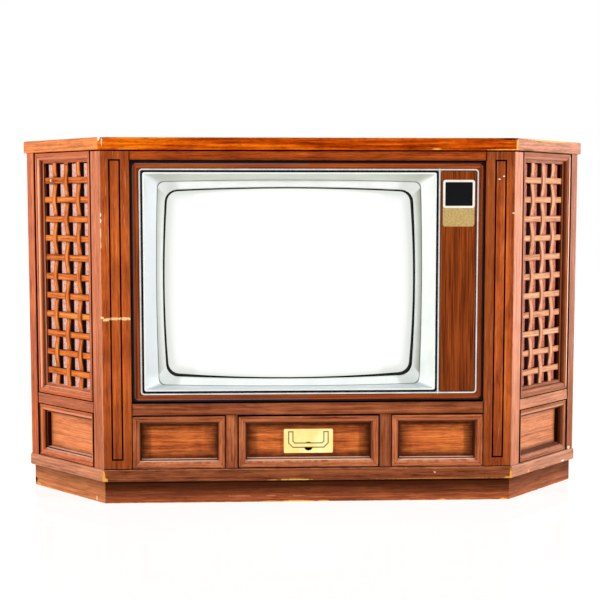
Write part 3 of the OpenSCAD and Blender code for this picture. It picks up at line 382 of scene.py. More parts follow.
def weaveShade(spot, colour, tone, reach=6.0, share=0.8, rounded=0.35):
    # painted shade where a strip dips behind the one that crosses it
    upright, gaps, odd = weaveGrid(spot)
    gap = add("SUBTRACT", [gaps[1], gaps[0]])
    gap = add("MULTIPLY_ADD", [upright, gap, gaps[0]])
    dark = add("MapRange", [gap, reach, 0.5, 0.0, share])
    dark = add("MULTIPLY", [dark, apart(upright, odd)])
    # and painted shade along its two long edges, which are rounded over
    own = add("SUBTRACT", [gaps[0], gaps[1]])
    own = add("MULTIPLY_ADD", [upright, own, gaps[1]])
    own = add("MapRange", [own, -3.4, -0.6, 0.0, rounded])
    return lay(colour, tone, darkest(dark, own))


def stainedWood(name, look, grain, board=None, kind="front", middle=False, shades=()):
    # grain is level, upright, across, woven like the strips, or mitred as a frame's members
    look = {**woodDefaults, **look}
    material, shader, spot = newMaterial(name)
    if board:
        spot.edge = insets(spot, board, kind, middle)
    way = grainWays.get(grain)
    if not way:
        upright = (weaveGrid(spot)[0] if grain == "woven" else add("LESS_THAN", spot.edge[:2]))
        way = add("MixRGB", [upright, grainWays["level"] + (1,), grainWays["upright"] + (1,)])
    spot.grain, pore, streak = woodGrain(spot.place, look, way)
    colour = add("ValToRGB", [spot.grain], stops=tones(look))
    colour = lay(colour, look["pore"], pore)
    for shade, values in shades:
        colour = shade(spot, colour, **values)
    rough = add("MULTIPLY_ADD", [pore, look["poreRough"], look["rough"]])
    height = add("SUBTRACT", [streak, pore])
    # no lacquer film bridges the kerfs and the open pores, so they don't shine
    film = add("MapRange", [add("RGBToBW", [colour]), 0.02, 0.22, 0.0, look["sheen"]])
    surface(shader, colour, rough, height, look["bump"], Coat_Weight=look["coat"],
            Coat_Roughness=look["coatRough"], Specular_IOR_Level=film)
    return material


def edgeToner(spot, colour, tone="#4a1e0c", reach=7.0, share=0.55):
    # stain gathers towards the edges of a board
    near = ragged(add("MINIMUM", spot.edge[:2]), spot.place, 20, 6.0)
    return fade(colour, tone, near, reach + 3, 3.0, share)


def kerfs(spot, colour, rim=None, wider=1.0):
    # near black in the saw kerfs, which lie behind the face: stain, and painted shade in the gap
    deep = add("MapRange", [spot.edge[2], 0.4, 1.2])
    if rim:  # only the kerf round the outside and its arris, not the hollow of a moulding
        near = add("MINIMUM", [add("DIVIDE", [spot.edge[0], wider]), spot.edge[1]])
        outer = add("MapRange", [near, rim + 0.3, rim - 0.1])
        deep = add("MULTIPLY", [deep, outer])
        deep = darkest(deep, add("MapRange", [near, rim + 0.5, rim]))
    return lay(colour, kerfStainAndShade, deep)


def profilePaintedLight(spot, colour, name, lines):
    # painted highlight and shade on the outer member of a canted frame, by distance from its edge
    middle = sum(faceSpans(name, "cant")[0]) / 2
    outer = add("GREATER_THAN", [facePlaces(spot, "cant")[0], middle])
    upright = add("LESS_THAN", spot.edge[:2])
    for low, high, soft, tone, share in lines:
        line = band(spot.edge[0], low, high, soft)
        colour = lay(colour, tone, line, share, outer, upright)
    return colour


def stileKerf(spot, colour):
    # painted shade on the stile's edge, which makes the far wall of the kerf beside the frame
    low = faceSpans("left_outer_stile", "cant")[0][0]
    along = facePlaces(spot, "cant")[0]
    return fade(colour, kerfStainAndShade, along, low + 2.6, low + 1.8)


def cornerWear(spot, colour, corner, tone, share):
    # lacquer rubbed through along the upright corner of the front
    across = ragged(spot.across, spot.place, 14, 5.0, Detail=5.0, Roughness=0.8)
    return lay(colour, tone, band(across, corner + 1.6, corner + 3.4, 0.6), share)


def postTonerAndShade(spot, colour, inner, outer, above, clouds, tone="#5a2a16"):
    # darker stain beside the inlay, to the foot and in upright clouds; painted shade under the top
    level = ragged(spot.up, spot.place, 40, 160.0)
    foot = add("MapRange", [level, 330.0, 160.0, 0.0, 0.5])
    # painted shade under the overhanging top
    head = add("MapRange", [level, 660.0, 800.0, 0.0, above])
    beyond = add("GREATER_THAN", [spot.across, postMiddle])
    side = add("MULTIPLY_ADD", [beyond, outer - inner, inner])
    side = add("MULTIPLY", [add("MapRange", [spot.edge[0], 19.0, 15.0]), side])
    patch = add("VectorMath.MULTIPLY", [spot.place, (1.0, 1.0, 0.3)])
    patch = blotches(patch, 22, (0.46, 0.62, 0.0, clouds))
    front = add("LESS_THAN", [spot.edge[2], 1.0])
    colour = lay(colour, tone, darkest(foot, side, patch, head), front)
    # a black joint line, partly painted shade, where the post meets the base
    return fade(colour, kerfStainAndShade, spot.up, baseTop + 2.4, baseTop + 1.4)


def postKerfs(spot, colour, name, reach=1.7):
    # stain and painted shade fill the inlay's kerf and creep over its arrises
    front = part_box(name)[0].y
    floor = [(abs(v.co.x) / mm, v.co.z / mm) for v in nodes[name].data.vertices
             if front + 2 * mm < v.co.y < front + 4 * mm]
    off = [inside(value, min(places) + 1.0, max(places) - 1.0)
           for value, places in zip((spot.across, spot.up), zip(*floor))]
    return lay(colour, kerfStainAndShade, band(add("MINIMUM", off), -reach, reach, 0.4))


def scratches(spot, colour, tone="#eab088", share=0.45, above=0.0):
    # fine pale scratches along an upright board
    flow = add("VectorMath.MULTIPLY", [spot.place, (1.0, 1.0, 0.035)])
    line = blotches(flow, 1.9, (0.66, 0.74, 0.0, share), Detail=1.0)
    return fade(colour, tone, spot.up, above, above + 120, 1.0, line)


def cantPaintedLight(spot, colour, corner, left, right, share):
    # painted light: the canted faces drawn paler than the front, in a dark and a light tone a side
    side = add("GREATER_THAN", [spot.x, 0.0])
    tints = [add("ValToRGB", [spot.grain], stops=list(enumerate(pair))) for pair in (left, right)]
    return fade(colour, lay(*tints, side), spot.across, corner - 0.5, corner + 0.5, share)


def rightSide(spot, colour, tone, share):
    # the right-hand one of a pair is drawn darker
    return lay(colour, tone, add("GREATER_THAN", [spot.x, 0.0]), share)


def shadowUnderSlab(spot, colour):
    # painted shadow in the joint under the overhanging top
    return fade(colour, kerfStainAndShade, spot.up, slabFoot - 3.4, slabFoot - 2.4)


def tonerAndShade(spot, colour, top, foot, tone, share):
    # painted shade darker towards the top of a board under an overhang, with a ragged lower limit
    up = ragged(spot.up, spot.place, 30, 10.0)
    return fade(colour, tone, up, foot + 5, top + 5, share)


# a dark mitre joint, and painted shade in the cove's hollow and at its deep foot
mitreAndCoveShadeTones = {"mitre": "#260d05", "hollow": "#260c04", "foot": "#0a0402"}


def mouldingShade(spot, colour, depth=12.0, ledges="#dc9a70", lip="#ffe4d0", rim=2.0,
                  under="#d87e4c", share=0.5, wider=1.0):
    # a dark mitre line, painted shade deepening towards the inner lip, painted light on the ledges
    colour = fade(colour, mitreAndCoveShadeTones["mitre"], apart(*spot.edge[:2]), 0.9, 0.3, 0.65)
    # painted shade that deepens into the cove and turns black at its foot
    toned = add("MULTIPLY_ADD", [add("LESS_THAN", spot.edge[:2]), 0.55, 0.12])
    colour = fade(colour, mitreAndCoveShadeTones["hollow"], spot.edge[2], 3.0, depth, 1.0, toned)
    colour = fade(colour, mitreAndCoveShadeTones["foot"], spot.edge[2], depth - 2.0, depth - 0.5, 0.8)
    # painted light on faces turned down, which the lamps leave dim
    up = add("SeparateXYZ", [add("NewGeometry").outputs["Normal"]]).outputs[2]
    shallow = add("MapRange", [spot.edge[2], depth - 1, depth - 3])
    colour = fade(colour, under, up, -0.15, -0.6, share, shallow)
    # upper ledges paler: rubbed wear and a painted highlight
    rubbed = blotches(spot.place, 12, (0.4, 0.58, 0.02, 0.7), Detail=3.0)
    colour = fade(colour, ledges, up, 0.3, 0.75, 1.0, rubbed)
    # a painted highlight on ledges that face straight up
    colour = fade(colour, lip, up, 0.85, 0.97)
    return kerfs(spot, colour, rim=rim, wider=wider)


def panelShade(spot, colour, reach=20.0, uneven=12.0, share=0.85, tone="#38190d"):
    # darker round the panel's edges, which lie 20 mm inside the frame's: toner and painted shade
    near = ragged(add("MINIMUM", spot.edge[:2]), spot.place, 18, uneven)
    start = 20.0 + uneven / 2
    return fade(colour, tone, near, start + reach, start, share)


def chips(spot, colour, marks):
    # small knocks that show pale wood, and other marks; each is a ragged block about a point
    torn = add("TexNoise", {"Vector": spot.place, "Scale": 1 / 3})
    for centre, size, tone in marks:
        off = add("VectorMath.DIVIDE", [add("VectorMath.SUBTRACT", [spot.place, centre]), size])
        off = add("VectorMath.LENGTH", [off]).outputs["Value"]
        colour = fade(colour, tone, add("MULTIPLY_ADD", [torn, 1.6, off]), 1.9, 1.6)
    return colour


def arris(spot, colour, level, tone, share, width=1.4):
    # a worn line along an edge at some height, broken up by noise
    broken = blotches(spot.place, 25, (0.4, 0.58, 0.1, share), Detail=4.0, Roughness=0.7)
    return lay(colour, tone, band(spot.up, level - width, level + width), broken)


def topSkin(spot, colour):
    # the top's veneer covers the upper face of its edging too
    skin = add("ValToRGB", [spot.grain], stops=tones(topVeneer))
    return fade(colour, skin, spot.up, slabTop - 0.3, slabTop - 0.1)


low, high = boxMm("top_edging")
slabTop, slabFoot, slabFront = high.z, low.z, low.y
low, high = boxMm("base_moulding")
baseTop, baseFoot, baseFront = high.z, low.z, low.y
postFront = boxMm("left_corner_post")[0].y
plinthFront = boxMm("plinth")[0].y
panelFront = boxMm("drawer_front_panel")[0].y
slabCorner, baseCorner = frontCorner("top_edging"), frontCorner("base_moulding")
postCorner, plinthCorner = frontCorner("left_corner_post"), frontCorner("plinth")
postMiddle = (boxMm("right_corner_post")[0].x + postCorner) / 2

slabWood = {"shares": (0.34, 0.3, 0.24), "dark": "#6a2200", "mid": "#ca4a00",
            "light": "#fc8209", "figure": 11.0, "streak": 4.5, "spread": 0.085, "pores": 0.6,
            "short": 0.1, "seed": 1}
topVeneer = {"dark": "#7a3208", "mid": "#b25311", "light": "#dc7c24", "seed": 2, "pores": 0.14}
postWood = {"dark": "#742c0e", "mid": "#bc5824", "light": "#ec7a30", "seed": 3, "pores": 0.22,
            "spread": 0.125}
topRailWood = {"dark": "#64220a", "mid": "#a84818", "light": "#d8641e", "seed": 4,
               "figure": 9.0, "spread": 0.1, "pores": 0.6}
midRailWood = {"dark": "#74381f", "mid": "#9e5634", "light": "#c67042", "seed": 5, "figure": 10.0}
lowerWood = {"coat": 0.1, "dark": "#6e331c", "mid": "#b86238", "light": "#e08856", "seed": 6,
             "figure": 9.0}
lowerPanel = {"dark": "#843e1e", "mid": "#cc6830", "light": "#ff9444", "seed": 7,
              "figure": 10.0, "streak": 4.0}
baseWood = {"dark": "#4c2010", "mid": "#8e4c2e", "light": "#bc6a3a", "seed": 12,
            "figure": 11.0, "spread": 0.1, "pores": 0.4}
plinthWood = {"dark": "#683018", "mid": "#9c5030", "light": "#d8763c", "seed": 13,
              "figure": 11.0, "spread": 0.1, "pores": 0.4}
cantPanel = {"dark": "#ae5a30", "mid": "#e6874e", "light": "#ffa468", "seed": 10, "pores": 0.12}
# the two canted sides in differing tones, as painted light for the lamp on each side
cantWoods = {
    "left": {"coat": 0.03, "dark": "#80381a", "mid": "#c65e2a", "light": "#ec8040", "seed": 8,
             "figure": 11.0, "spread": 0.1},
    "right": {"coat": 0.03, "dark": "#7e4024", "mid": "#a05630", "light": "#c87a4a",
              "seed": 9, "figure": 11.0, "spread": 0.1, "pores": 0.18}}
# the strips of the two sides in differing tones, as painted light for each side's lamp
slatWoods = {
    "left": {"dark": "#8a3a12", "mid": "#e47630", "light": "#ffa048", "seed": 14,
             "spread": 0.09, "figure": 8.0, "sheen": 0.03},
    "right": {"dark": "#b06a44", "mid": "#e29c6e", "light": "#f8bd90", "seed": 15,
              "figure": 8.0, "sheen": 0.05}}

# painted highlights and shade on the outer members of the canted frames
mouldingPaintedLight = {  # from, to, softness, tone and share, in millimetres from the outer edge
    "left_grille_frame": [(10.5, 14.0, 1.5, "#ffc4a0", 0.85), (15.5, 22.0, 1.0, "#8a4424", 0.6),
                          (21.4, 22.6, 0.3, "#f4d8c0", 0.7)],
    "left_cant_frame": [(8.0, 11.0, 1.5, "#e8a078", 0.6), (15.0, 16.6, 0.4, "#3a1a0e", 0.8),
                        (17.0, 18.4, 0.3, "#b08870", 0.6)],
    "right_grille_frame": [(4.0, 8.6, 0.4, "#ffb890", 0.8), (12.5, 20.0, 1.5, "#643014", 0.7),
                           (20.6, 22.4, 0.4, "#a86040", 0.7)],
    "right_cant_frame": [(6.5, 9.0, 1.5, "#d49878", 0.5), (12.0, 15.5, 1.5, "#5a3222", 0.6),
                         (17.0, 18.4, 0.3, "#8a5a44", 0.5)]}

# the knocks and other marks of this one cabinet: centre, half size and tone of each
yellow, cream, white, nearBlack = "#f4b04a", "#f3dcb4", "#fbf4ea", "#0d0806"
slabMarks = [
    ((-slabCorner + 2, slabFront, slabTop - 2), (3, 6, 5), white),
    ((-slabCorner + 8, slabFront, slabTop - 8), (1.2, 6, 9), cream),
    ((slabCorner, slabFront, slabTop - 12), (2.2, 5, 15), yellow),
    ((slabCorner - 24, slabFront, slabFoot + 0.5), (34, 6, 1.6), yellow),
    ((262, slabFront, slabFoot + 2), (9, 6, 1.6), yellow),
    ((slabCorner + 92, slabFront + 92, slabTop - 1.5), (94, 94, 1.4), "#ffc828"),
    ((slabCorner + 30, slabFront + 30, slabFoot + 2), (22, 22, 2.6), "#8a5238"),
    ((slabCorner + 110, slabFront + 110, slabFoot + 2), (34, 34, 2.2), "#96603f"),
    ((slabCorner - 16, slabFront, slabTop - 2), (18, 5, 2.6), "#4a1a04"),
    ((-slabCorner + 60, slabFront, slabFoot + 1), (24, 6, 1.2), "#f08a2c")]
postMarks = {
    "left": [
        ((-postCorner + 1, postFront, 600), (1.4, 5, 4), white),
        ((-postCorner + 1, postFront, 588), (1.4, 5, 4), white),
        ((-postCorner + 1, postFront, 562), (0.8, 5, 12), cream),
        ((-postCorner + 1, postFront, 538), (0.7, 5, 8), cream),
        ((-425, postFront, 389), (4, 4, 2.8), "#ffd8a0"),
        ((-417, postFront, 385), (7, 4, 3.0), "#ffcc90"),
        ((-401, postFront, 387), (13, 4, 3.1), "#ffca8c"),
        ((-380, postFront, 387), (15, 4, 3.3), "#ffce94")],
    "right": [
        ((393, postFront, 673), (2.6, 4, 1.2), white),
        ((402, postFront, 679), (2.6, 4, 1.2), white),
        ((postCorner - 3, postFront, 603), (3, 4, 1.4), cream)]}
stileMarks = [((594, -74, 76), (5, 6, 4), cream)]
# a painted glint on a left strip near its top
slatPaintedGlint = [((-548, -105, 672), (3, 3, 3), cream)]
# painted shade, black, seen through the finger notch below the bail, and painted light above
notchPaintedShadeAndLight = [((0, panelFront, 106), (13, 9, 8), "#0a0604"),
              ((0, panelFront, 125), (13, 9, 5), "#fff6d0")]
baseMarks = [
    ((-baseCorner + 2, baseFront, 57), (3.0, 6, 15), yellow),
    ((baseCorner - 2, baseFront, 54), (2.6, 6, 13), yellow),
    ((-28, baseFront, baseFoot + 1.4), (34, 4, 2.0), "#ffca5e"),
    ((-74, baseFront, baseFoot + 1.2), (12, 4, 1.6), "#e8a048"),
    ((285, baseFront, baseFoot + 1.0), (140, 4, 1.6), "#dc8c3c"),
    ((baseCorner - 9, baseFront, baseFoot + 2), (8, 5, 2.4), yellow),
    ((-baseCorner + 4, baseFront, baseFoot + 4), (6, 6, 5), yellow),
    ((264, baseFront, 62), (2, 4, 1.6), cream),
    ((474, -199, 51), (2.6, 4, 4), yellow), ((516, -157, 48), (10, 10, 1.4), cream),
    ((575, -98, 51), (6, 6, 2.0), white)]
plinthMarks = [
    # the first mark is a near-black notch at the left corner
    ((-599, -61, 12), (7, 7, 7), nearBlack), ((-590, -70, 3), (8, 8, 3), yellow),
    ((-444, -216, 6), (1.4, 4, 6), cream), ((-24, plinthFront, 1), (32, 4, 2.2), "#ffc050"),
    ((-80, plinthFront, 1), (24, 4, 1.8), "#e89c40"),
    ((32, plinthFront, 1), (12, 4, 1.8), yellow),
    ((282, plinthFront, 1), (9, 4, 2.0), yellow), ((412, plinthFront, 1), (9, 6, 2.4), yellow),
    ((-142, plinthFront, 13), (24, 4, 1.3), "#c87c58"),
    ((-77, plinthFront, 13), (11, 4, 1.2), "#c87c58"),
    ((-23, plinthFront, 12.5), (14, 4, 1.2), "#bc7050")]

# rubbed veneer: long streaks across a calm, softly shining plane
dress(stainedWood("topVeneerRubbed", topVeneer, "across"), "top_panel")
# thick lacquer on the edge veneer: fiery orange between dark flecks, worn to yellow at arrises
dress(stainedWood("slabVeneerLacquered", slabWood, "level", shades=[
    # painted light: the canted ends drawn paler than the front
    (cantPaintedLight, {"corner": slabCorner, "left": ("#a85424", "#fc9a4c"),
                "right": ("#86543a", "#da926a"), "share": 0.85}),
    (arris, {"level": slabTop, "tone": "#f8a83c", "share": 0.7, "width": 1.2}),
    (arris, {"level": slabFoot, "tone": "#e88426", "share": 0.5, "width": 1.0}),
    (topSkin, {}), (chips, {"marks": slabMarks})]), "top_edging")

# what differs between the two sides of the case, with painted light: the ledge and lip
# highlights and the shade under the top follow each side's lamps
sideLooks = {
    "left": {"tonerAndShade": {"inner": 0.0, "outer": 0.1, "above": 0.35, "clouds": 0.3},
             "cornerWear": 0.4, "scratches": {"above": 480.0}, "ledges": "#d89878",
             "lip": "#ffe4d0"},
    "right": {"tonerAndShade": {"inner": 0.5, "outer": 0.25, "above": 0.6, "clouds": 0.4},
              "cornerWear": 0.3, "scratches": {"share": 0.2}, "ledges": "#a8684a",
              "lip": "#6a4a3c"}}
for side, look in sideLooks.items():
    wood = cantWoods[side]
    # posts, planed and toned: upright streaks from orange to brown, a worn corner and a thin black
    # inlay line, with painted light on the canted strip and painted shade under the top
    board = side + "_corner_post"
    dress(stainedWood(side + "PostHardwoodPlaned", postWood, "upright", board, shades=[
        (postTonerAndShade, look["tonerAndShade"]),
        # painted light: the post's canted strip drawn paler
        (cantPaintedLight, {"corner": postCorner, "left": ("#8a4428", "#e88a5e"),
                    "right": ("#a45a3c", "#f8a880"), "share": 0.8}),
        (cornerWear, {"corner": postCorner, "tone": "#f2ba94", "share": look["cornerWear"]}),
        (scratches, look["scratches"]), (postKerfs, {"name": board}), (shadowUnderSlab, {}),
        (chips, {"marks": postMarks[side]})]), board)
    # stiles and side veneer, planed and stained: even upright grain with a soft shine
    dress(stainedWood(side + "StileHardwoodPlaned", wood, "upright", shades=[
        # painted shade on the stile's edge in the kerf
        (stileKerf, {}), (chips, {"marks": stileMarks})]), side + "_outer_stile")
    dress(stainedWood(side + "SideVeneerSanded", wood, "upright"), side + "_side_panel")
    # mouldings cut by a spindle: paler where hands rubbed the ledges and where highlights are
    # painted on them, and painted shade nearly black in the coves
    board = side + "_lower_frame"
    dress(stainedWood(side + "LowerHardwoodMoulded", lowerWood, "mitred", board,
                      shades=[(mouldingShade, {})]), board)
    # canted frames: painted light and shade on the outer member, ledges and faces turned down
    for board, title, depth, shown, wider in (
            (side + "_cant_frame", "Cant", 12.0, 0.9, 2.5),
            (side + "_grille_frame", "Grille", 16.0, 0.35, 2.0)):
        dress(stainedWood(side + title + "HardwoodMoulded", wood, "mitred", board, "cant", shades=[
            (profilePaintedLight, {"name": board, "lines": mouldingPaintedLight[board]}),
            # painted shade under the overhanging top
            (tonerAndShade, {"top": slabFoot - 6, "foot": slabFoot - 46, "tone": "#8a3f1c", "share": 0.4}),
            (mouldingShade, {"depth": depth, "under": "#f6b48e", "share": shown,
                             "ledges": look["ledges"], "lip": look["lip"],
                             "wider": wider})]), board)
# bent strips: pale rounded faces, with painted shade wherever one dips behind another and
# along their edges
dress(stainedWood("leftSlatStripBent", slatWoods["left"], "woven", shades=[
    (weaveShade, {"tone": "#4a1b08"}), (chips, {"marks": slatPaintedGlint})]), "left_grille_slats")
dress(stainedWood("rightSlatStripBent", slatWoods["right"], "woven", shades=[
    (weaveShade, {"tone": "#7c3e26", "share": 0.6, "rounded": 0.45})]), "right_grille_slats")
# rails and mullions, planed: quiet straight grain that darkens evenly towards the joints
for title, wood in (("top", topRailWood), ("mid", midRailWood)):
    board = title + "_rail"
    dress(stainedWood(title + "RailHardwoodPlaned", wood, "level", board, middle=True,
                      # painted shadow under the top
                      shades=[(edgeToner, {}), (kerfs, {}), (shadowUnderSlab, {})]), board)
dress(stainedWood("mullionHardwoodPlaned", lowerWood, "upright", "mullions", shades=[
    (edgeToner, {}), (kerfs, {}), (rightSide, {"tone": "#5e2a14", "share": 0.4})]), "mullions")
dress(stainedWood("cantRailHardwoodPlaned", cantWoods["left"], "level", "cant_rails", "cant",
                  # painted light: the canted rails drawn in each side's tones
                  shades=[(cantPaintedLight, {"corner": 0.0, "left": ("#88482e", "#d0764c"),
                                      "right": ("#9c5e42", "#e29c72"), "share": 0.8}),
                          (kerfs, {})]), "cant_rails")
# drawer moulding, cut by a spindle: crisp mitres, a cove dark with painted shade, and a ledge
# bright from rubbing and from a painted highlight
dress(stainedWood("drawerHardwoodMoulded", lowerWood, "mitred", "drawer_front_frame",
                  middle=True, shades=[(mouldingShade, {})]), "drawer_front_frame")
# sunk panels, toned with a spray gun: glowing streaks in the middle, nearly black at the edges
# from the toner and from painted shade of the frame
dress(stainedWood("lowerPanelVeneerToned", lowerPanel, "level", "left_lower_frame",
                  shades=[(panelShade, {})]), "lower_panels")
dress(stainedWood("drawerPanelVeneerToned", lowerPanel, "level", "drawer_front_frame",
                  middle=True, shades=[(panelShade, {}), (chips, {"marks": notchPaintedShadeAndLight})]),
      "drawer_front_panel")
dress(stainedWood("cantPanelVeneerToned", cantPanel, "level", "left_cant_frame", "cant", shades=[
    # painted light: the canted panels drawn in each side's tones
    (cantPaintedLight, {"corner": 0.0, "left": ("#b86438", "#ff9c5e"), "right": ("#a05c40", "#ea9c70"),
                "share": 0.6}),
    (panelShade, {"reach": 9.0, "uneven": 3.0, "share": 0.6})]), "cant_panels")
# base and plinth: plain brown boards, knocked and scuffed down to bright wood at the edges
dress(stainedWood("baseHardwoodMoulded", baseWood, "level", shades=[
    # painted light: the canted ends drawn paler than the front
    (cantPaintedLight, {"corner": baseCorner, "left": ("#a4664a", "#ffaa7c"),
                "right": ("#a86e54", "#f2a880"), "share": 0.8}),
    (arris, {"level": baseTop, "tone": "#d0946a", "share": 0.6}),
    (arris, {"level": baseFoot, "tone": "#c98a5c", "share": 0.35, "width": 0.8}),
    (chips, {"marks": baseMarks})]), "base_moulding")
dress(stainedWood("plinthVeneerScuffed", plinthWood, "level", shades=[
    # painted shade under the base moulding
    (tonerAndShade, {"top": baseFoot - 14, "foot": baseFoot - 36, "tone": "#34180c", "share": 0.75}),
    # painted light: the canted ends drawn paler than the front
    (cantPaintedLight, {"corner": plinthCorner, "left": ("#a85c32", "#ffa25e"),
                "right": ("#70391e", "#bc6a3c"), "share": 0.85}),
    # more painted shade under the base moulding
    (tonerAndShade, {"top": baseFoot - 6, "foot": baseFoot - 32, "tone": "#34180c", "share": 0.6}),
    (arris, {"level": 0.0, "tone": "#f0a860", "share": 0.8, "width": 1.6}),
    (chips, {"marks": plinthMarks})]), "plinth")
# sawn softwood inside the case: pale, open pored, dull
rawSpruce = {"dark": "#a5814f", "mid": "#c6a472", "light": "#dcc093", "pore": "#8a6a40",
             "rough": 0.75, "seed": 14, "figure": 9.0}
dress(stainedWood("sawnSpruceLevel", rawSpruce, "level"), "bottom_board", "corner_blocks",
      "drawer_box", "drawer_runners")
dress(stainedWood("sawnSpruceUpright", rawSpruce, "upright"), "rear_cleats", "left_baffle",
      "right_baffle")
print("woods dressed")


def evenFinish(name, look, **values):
    # moulded, painted or sheet finishes: a faint mottle and a fine texture all over
    material, shader, spot = newMaterial(name)
    spot.grain = blotches(spot.place, 45, (0.35, 0.65), Detail=3.0)
    colour = lay(look["colour"], look["darker"], spot.grain)
    for shade in look.get("shades", ()):
        colour = shade(spot, colour)
    fine = add("TexNoise", {"Vector": spot.place, "Scale": 1 / look["grain"]})
    rough = add("MULTIPLY_ADD", [spot.grain, 0.08, look["rough"]])
    surface(shader, colour, rough, fine, look["depth"], **values)
    return material


# tones of painted light and shade for the mask's slopes, crease line and side rims
maskLook = {"crease": 41.0, "lip": 45.0, "top": "#c6caae", "left": "#caced4",
            "foot": "#c4ccd2", "line": "#45473f", "lineShare": 0.92, "side": "#7f8170",
            "sideShare": 0.62, "rightMore": 0.34}


def maskShade(spot, colour):
    # painted light and shade: each slope tinted by its facing, a dark crease line, shaded side
    # rims
    crease = maskLook["crease"]
    depth = add("SUBTRACT", [spot.y, boxMm("picture_mask")[0].y])
    normal = add("SeparateXYZ", [add("NewGeometry").outputs["Normal"]]).outputs
    slope = add("MapRange", [depth, crease - 0.4, crease - 0.8])
    for axis, tone, share in ((normal[2], "top", -0.4), (normal[0], "left", 0.75),
                              (normal[2], "foot", 0.75)):
        colour = fade(colour, maskLook[tone], axis, math.copysign(0.3, share),
                      math.copysign(0.6, share), abs(share), slope)
    spans = frontSpans("picture_mask")
    gaps = frontGaps(spot, spans)
    side = add("MapRange", [add("SUBTRACT", gaps), 0.0, -6.0])
    right = add("GREATER_THAN", [spot.x, sum(spans[0]) / 2])
    share = add("MULTIPLY_ADD", [right, maskLook["rightMore"], maskLook["sideShare"]])
    rim = add("MapRange", [depth, crease - 0.2, maskLook["lip"], 1.0, 0.1])
    colour = lay(colour, maskLook["side"], rim, side, add("SUBTRACT", [1.0, slope]), share)
    line = band(depth, crease - 1.3, crease + 0.2, 0.12)
    return lay(colour, maskLook["line"], line, maskLook["lineShare"])


# colour, darker colour, roughness, grain and depth of the texture in millimetres, and nodes
plastics = {
    # moulded plastics: an even near-black with a soft light along the edges
    "shroudPlasticMoulded": ("#17181b", "#101013", 0.34, 1.6, 0.02, ["shroud"]),
    "tunerPlasticMoulded": ("#202022", "#161618", 0.5, 1.6, 0.02, ["tuner_module"]),
    # cut foam: the blackest line of all, without any shine
    "gasketFoamCut": ("#0e0e0e", "#060606", 0.88, 2.4, 0.2, ["mask_gasket"]),
    # polished plastic: a flat black pane that mirrors the room faintly
    "windowPlasticPolished": ("#0d0c11", "#09080c", 0.1, 30.0, 0.01, ["display_window"]),
    # pressed fibreboard: dull mottled brown with a coarse tooth
    "backFibreboardPressed": ("#4a392b", "#3a2c20", 0.72, 2.2, 0.15, ["back_cover"]),
    # pressed and painted steel: dull black, a little uneven
    "speakerSteelPressed": ("#1d1d1f", "#121214", 0.6, 1.6, 0.05,
                            ["left_speaker", "right_speaker"]),
    # brushed-on graphite: matt dark grey
    "funnelGraphiteBrushed": ("#2c2d30", "#202124", 0.7, 2.0, 0.03, ["tube_funnel"]),
    # wound enamelled wire: warm copper with fine ridges
    "yokeCopperWound": ("#a05a30", "#7c4424", 0.45, 1.0, 0.2, ["deflection_yoke"]),
    # wound cloth tape: matt black with soft ridges
    "coilTapeWound": ("#1c1c1c", "#121212", 0.6, 2.0, 0.2, ["degaussing_coil"]),
    # pressed phenolic paper: olive brown with a faint shine
    "boardPhenolicPressed": ("#6a5a2c", "#51461f", 0.5, 1.6, 0.02,
                             ["neck_board", "circuit_board"])}
for name, (colour, darker, rough, grain, depth, places) in plastics.items():
    dress(evenFinish(name, {"colour": colour, "darker": darker, "rough": rough, "grain": grain,
                            "depth": depth}, Specular_IOR_Level=0.09), *places)
# sprayed silver paint: a pale sheen, with painted shade cooler and darker from slope to slope
maskPaint = {"colour": "#eef2ee", "darker": "#e4e9e5", "rough": 0.42, "grain": 1.2,
             "depth": 0.015, "shades": [maskShade]}
dress(evenFinish("maskSilverSprayed", maskPaint, Metallic=0.42), "picture_mask")
# blackened steel screws: small dark heads with a dull glint
screwSteel = {"colour": "#2b2927", "darker": "#1d1b1a", "rough": 0.38, "grain": 1.5, "depth": 0.02}
dress(evenFinish("screwSteelBlackened", screwSteel, Metallic=0.8), "back_screws", "tube_bolts")
# zinc-plated sheet: cool grey metal with a slow cloudy spangle
zincSheet = {"colour": "#9c9b96", "darker": "#83837f", "rough": 0.36, "grain": 8.0, "depth": 0.03}
dress(evenFinish("sheetSteelZincPlated", zincSheet, Metallic=1.0), "tube_band", "chassis_tray")


def printedGrain(name, look, turned):
    # plastic printed with a wood grain: thin even lines under a clear gloss
    material, shader, spot = newMaterial(name)
    way = (1, 1, 0.015)
    if turned:  # level at the top and bottom, upright at the sides
        edge = frontGaps(spot, turned)
        way = add("MixRGB", [add("GREATER_THAN", edge), (1, 1, 0.015, 1), (0.015, 1, 1, 1)])
    flow = add("VectorMath.MULTIPLY", [spot.place, way])
    fine = add("TexNoise", {"Vector": flow, "Scale": 1 / look["line"], "Detail": 3.0,
                            "Roughness": 0.7})
    wide = add("TexNoise", {"Vector": flow, "Scale": 1 / (look["line"] * 8)})
    value = add("MULTIPLY_ADD", [fine, 0.72, add("MULTIPLY", [wide, 0.28])])
    value = add("MapRange", [value, 0.36, 0.64])
    colour = add("ValToRGB", [value], stops=tones(look))
    # a dark line in the joint beside the bright trim
    joint = add("MINIMUM", frontGaps(spot, look["joint"]))
    colour = lay(colour, "#120906", band(joint, -1.8, 1.8, 0.6), 0.5)
    # the shine along the outer edge is a painted highlight
    if turned:  # the moulding's outer edge shines, most of all on the left
        near = add("MINIMUM", edge)
        left = add("MULTIPLY_ADD", [add("LESS_THAN", [spot.x, 0.0]), 0.6, 0.1])
        colour = fade(colour, "#6e6a70", near, 2.8, 2.0, 1.0, left)
    rough = add("MapRange", [fine, 0.3, 0.7, 0.2, 0.3])
    surface(shader, colour, rough, fine, 0.02, Specular_IOR_Level=0.06)
    return material


